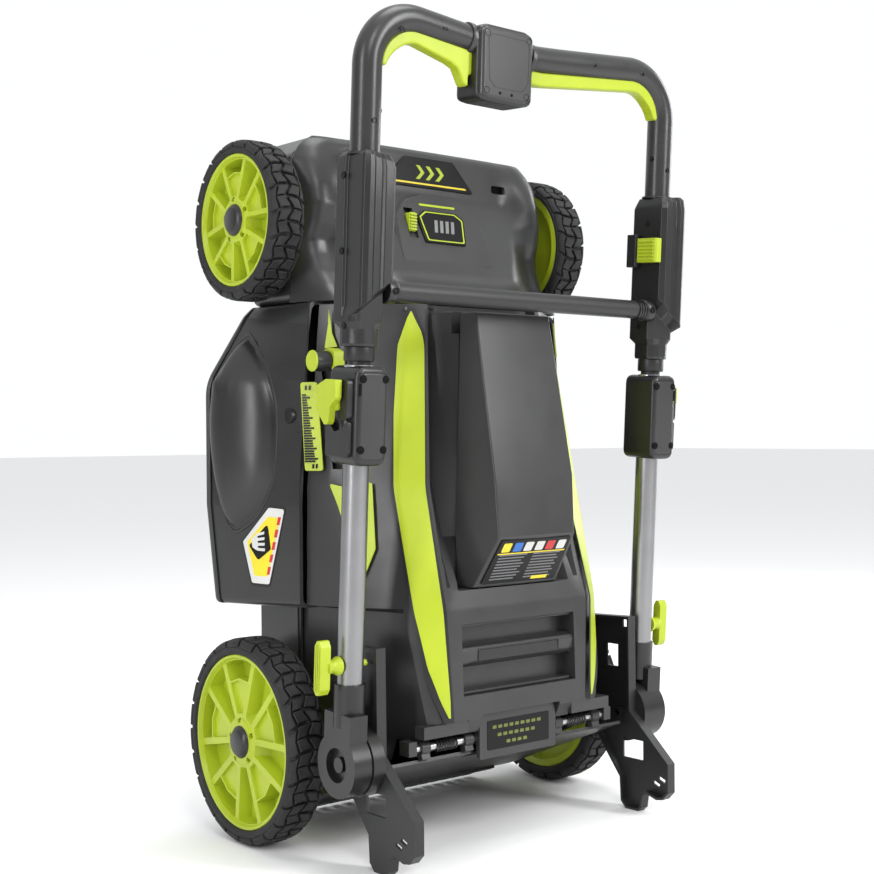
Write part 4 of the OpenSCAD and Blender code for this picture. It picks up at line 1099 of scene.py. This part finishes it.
PLATE = T((0, 646, 65)) @ R(math.radians(-20.8), 4, "X")
cuts = [nose_geo(545, 749, 30, 4.0, 8.0, 40),
        Geo().prism([(-76, 702), (76, 702), (40, 742), (-40, 742)], 36.9, 60),
        Geo().box((-55.3, 637.7, 45), (-42.7, 663.3, 95)),
        Geo().prism(rounded(rect(109, 708, 133, 719), 4, 4), 24, 70)]
piece("nose_shell", carved(nose_geo(541.0, 753, 46), cuts), GREY, "grey", bevel=0.8, angle=50)
# near-black floor behind the slot at the right of the nose: painted shade inside the slot
piece("nose_slot", Geo().prism(rounded(rect(107, 706, 135, 721), 4, 4), 23, 30), PAINTED_HOLE_SHADE, "black")
arch = rounded([(-74, -52), (74, -52), (70, 6), (46, 40), (22, 47), (-22, 47), (-46, 40), (-70, 6)],
               [8, 8, 30, 24, 20, 20, 24, 30], 6)
levels = ((1.05, -16), (1.05, -1.0), (1, 2.4))
g = Geo().loft([[(x * k, y * k, z) for x, y in arch] for k, z in levels], PLATE)
g = carved(g, [Geo().prism(rect(-56, 630, -42, 670), 40, 100)])
piece("nose_arch", g, GREY, "grey", bevel=1.4, seg=4, angle=28)
hexagon = [(-33, -24), (33, -24), (39, 14), (27, 23), (-27, 23), (-39, 14)]
g = Geo().prism(rounded(hexagon, 4, 4), -1, 5.0, PLATE)
piece("plate_base", g, FILM, "black", replaces=("nose_plate",), bevel=1.2, seg=3)
outer = rounded(scaled(hexagon, 0.9), 3, 4)
inner = scaled(outer, 0.945, 0.93)
rings = [[(x, y, z) for x, y in pts]
         for pts, z in ((outer, 4.6), (outer, 5.5), (inner, 5.5), (inner, 4.6), (outer, 4.6))]
piece("plate_outline", Geo().loft(rings, PLATE, cap=False), LIME, "lime")
g = Geo()
for x in (-16, -7, 2, 11):
    g.prism([(x, -9), (x + 5, -9), (x + 9, 9), (x + 4, 9)], 4.8, 5.6, PLATE)
piece("plate_bars", g, LIGHT, "light")
g = Geo().prism(rounded([(-28, 30), (28, 30), (30, 33), (-30, 33)], 1, 2), 1.5, 3.0, PLATE)
piece("arch_line", g, LIME, "lime")
g = Geo().prism(rounded([(-75, 702.6), (75, 702.6), (39.6, 741.4), (-39.6, 741.4)], 1.5, 3), 37, 40.2)
piece("badge_panel", g, FILM, "label_black", replaces=("front_badge",), bevel=0.6)
g = Geo()
for x in (-22, -6, 10):
    g.prism([(x, 713), (x + 6, 713), (x + 14, 722), (x + 6, 731), (x, 731), (x + 8, 722)], 40, 40.9)
piece("badge_marks", g, LIME, "lime")
g = Geo().prism([(-62, 706), (62, 706), (60, 708.2), (-60, 708.2)], 40, 40.8)
piece("badge_line", g, YELLOW, "label_yellow")
# button with ribs
g = Geo().prism(rounded(rect(-54.8, 638.2, -43.2, 662.8), 2.5, 3), 60.5, 70)
for i in range(6):
    g.box((-54, 639.6 + i * 3.9, 69.6), (-44, 641.8 + i * 3.9, 72.8))
piece("button_ribbed", g, LIME, "lime", "hood_latch", replaces=("hood_button",), bevel=0.5)


# ---- battery lid
def lid_section(f, d=0.0, base=190.0):
    """A section of the lid, moved inward by d, down to the height base."""
    half = line([(189, 67), (252, 61), (325, 63), (526, 59)], f)
    top = line([(189, 213), (252, 256), (325, 251), (526, 212)], f)
    foot = line([(189, 75.5), (252, 78), (526, 68)], f) - d
    roof = [(x * (half - d), f, top - 1.2 * x * x - d) for x in (-1, -0.6, -0.25, 0.25, 0.6, 1)]
    return [(-foot, f, base), *roof, (foot, f, base)]


lid = carved(Geo().loft([lid_section(f) for f in (189.6, 252, 290, 325, 400, 470, 520, 525.6)]),
             [Geo().loft([lid_section(f, 3.2, 185.0) for f in (193.5, 252, 325, 522)])])
piece("lid_shell", lid, GREY, "grey", "lid", replaces=("battery_lid",), bevel=6.0, seg=6, angle=26)
g = Geo()
for side in (-1, 1):
    g.lathe([(3.1, 28), (5.9, 28), (5.9, 52), (3.1, 52)], 24, to_x(0, 518, 196, side * QUARTER), closed=True)
piece("lid_knuckles", g, DARK, "grey", "lid", bevel=0.3)
# label on the rear slope of the lid, generic signs
LABEL = T((0, 221, 234.6)) @ R(math.atan2(256 - 213, 252 - 189), 4, "X")
g = Geo().prism(rounded([(-60, -33), (60, -33), (56, 34), (-56, 34)], 3, 4), -0.5, 1.0, LABEL)
piece("lid_label_film", g, FILM, "label_black", "lid", replaces=("lid_label",), bevel=0.2)
for i, (mat, x) in enumerate(((YELLOW, -44), (BLUE, -26), (WHITE, -9), (WHITE, 9), (RED, 26), (WHITE, 44))):
    g = Geo().prism(rounded(rect(x - 6.5, 16, x + 6.5, 29.5), 2, 3), 0.9, 1.25, LABEL)
    piece("lid_sign_%d" % i, g, mat, "label_black", "lid")
g = Geo()
for k in range(9):
    y = 11 - k * 4.6
    g.box((-50, y - 0.9, 0.9), (-6 - 3 * (k % 3), y + 0.9, 1.2), LABEL)
    g.box((4, y - 0.9, 0.9), (48 - 4 * (k % 2), y + 0.9, 1.2), LABEL)
piece("lid_label_lines", g, LIGHT, "label_black", "lid")
g = Geo().box((-54, 12.5, 0.9), (54, 14.2, 1.2), LABEL)
g.prism(rounded(rect(18, -30, 44, -25), 1, 2), 0.9, 1.3, LABEL)
piece("lid_label_band", g, YELLOW, "label_black", "lid")
# small ribs on the hood at the front end of the lid
g = Geo()
for (ax, ay), (bx, by) in (((-114, 532), (-58, 492)), ((-30, 530), (-46, 492))):
    d = Vector((bx - ax, by - ay)).normalized()
    dx, dy = -d.y * 3.2, d.x * 3.2
    pts = [(ax + dx, ay + dy), (bx + dx * 1.4, by + dy * 1.4), (bx - dx * 1.4, by - dy * 1.4),
           (ax - dx, ay - dy)]
    g.loft([[(x, y, line(INNER[1], y) - 0.6 - 17 + dz) for x, y in pts] for dz in (-3, 1.6)])
piece("hood_ribs", sides(g), GREY, "grey", bevel=1.2, seg=3)

# ---- lever knob
prof = [(0.2, -223.8), (11.8, -223.8), (12.6, -222.6), (12.6, -200), (11, -197), (11, -187.8), (0.2, -187.8)]
g = Geo().lathe(prof, 40, to_x(0, 465, 105))
piece("lever_grip", g, DARK, "dark", "height_lever", replaces=("lever_knob",), bevel=0.5)
prof = [(0.2, -225.9), (11.2, -225.9), (12.9, -224.6), (12.9, -223.6), (0.2, -223.6)]
g = Geo().lathe(prof, 40, to_x(0, 465, 105))
g.prism(rounded([(454, 98), (479, 98), (481, 106), (476, 119.5), (456, 119.5)], 3, 3), -203, -187.9, SIDEWAYS)
piece("lever_accents", g, LIME, "lime", "height_lever", bevel=1.0, seg=3)

# ---- rear cover, carry bar
g = Geo().prism(rounded(rect(-61.8, -19.8, 61.8, 36.6), [4, 4, 10, 10], 4), 209.2, 216)
g.box((-61.8, -0.8, 192.2), (61.8, 15.6, 209.4))
pin_holes = ([(5.02, -64.05), (5.02, -55.9), (0.02, -55.9), (0.02, -64.05)],
             [(0.02, 55.9), (5.02, 55.9), (5.02, 64.05), (0.02, 64.05)])
g = carved(g, [Geo().lathe(hole, 24, to_x(0, 5, 203)) for hole in pin_holes])
piece("rear_cover_shell", g, GREY, "grey", replaces=("rear_cover",), bevel=1.8, seg=3)
g = Geo().prism(rounded(rect(-50, -10, 50, 26), 2, 3), 215.8, 216.5)
piece("rear_label", g, FILM, "label_black")
g = Geo()
for k, (a, b) in enumerate(((-42, 43), (-34, 36), (-20, 21))):
    y = 17.5 - k * 10
    for i in range(int((b - a) / 9)):
        x = a + i * 9
        g.prism(rounded(rect(x, y - 2, x + 6.2, y + 2), 0.8, 2), 216.4, 216.75)
piece("rear_label_bars", g, OLIVE, "label_yellow")
prof = [(94, 197), (94, 205), (97, 213), (103, 217.4), (115, 218.4), (119, 216), (122, 208), (122, 197)]
g = Geo().loft([[(x, y, z) for y, z in prof] for x in (-90.8, -60, 0, 60, 90.8)])
g = carved(g, [Geo().box((-66, 99.5, 216.6), (66, 116.5, 222))])
piece("carry_bar_body", g, GREY, "dark", replaces=("carry_bar",), bevel=1.6, seg=4, angle=34)
piece("carry_bar_inset", Geo().box((-64.5, 101, 214), (64.5, 115, 218.2)), DARK, "dark", bevel=1.4, seg=3)
g = Geo().box((-94, 59, 186), (94, 151, 197))
g.box((-90.8, 62, 189), (90.8, 66, 214)).box((-90.8, 144, 189), (90.8, 148, 214))
for side in (-1, 1):
    g.box((side * 90.9 - 3.5, 96, 189), (side * 90.9 + 3.5, 120, 214))
piece("carry_pocket", g, GREY, "dark", bevel=1.5, seg=3)
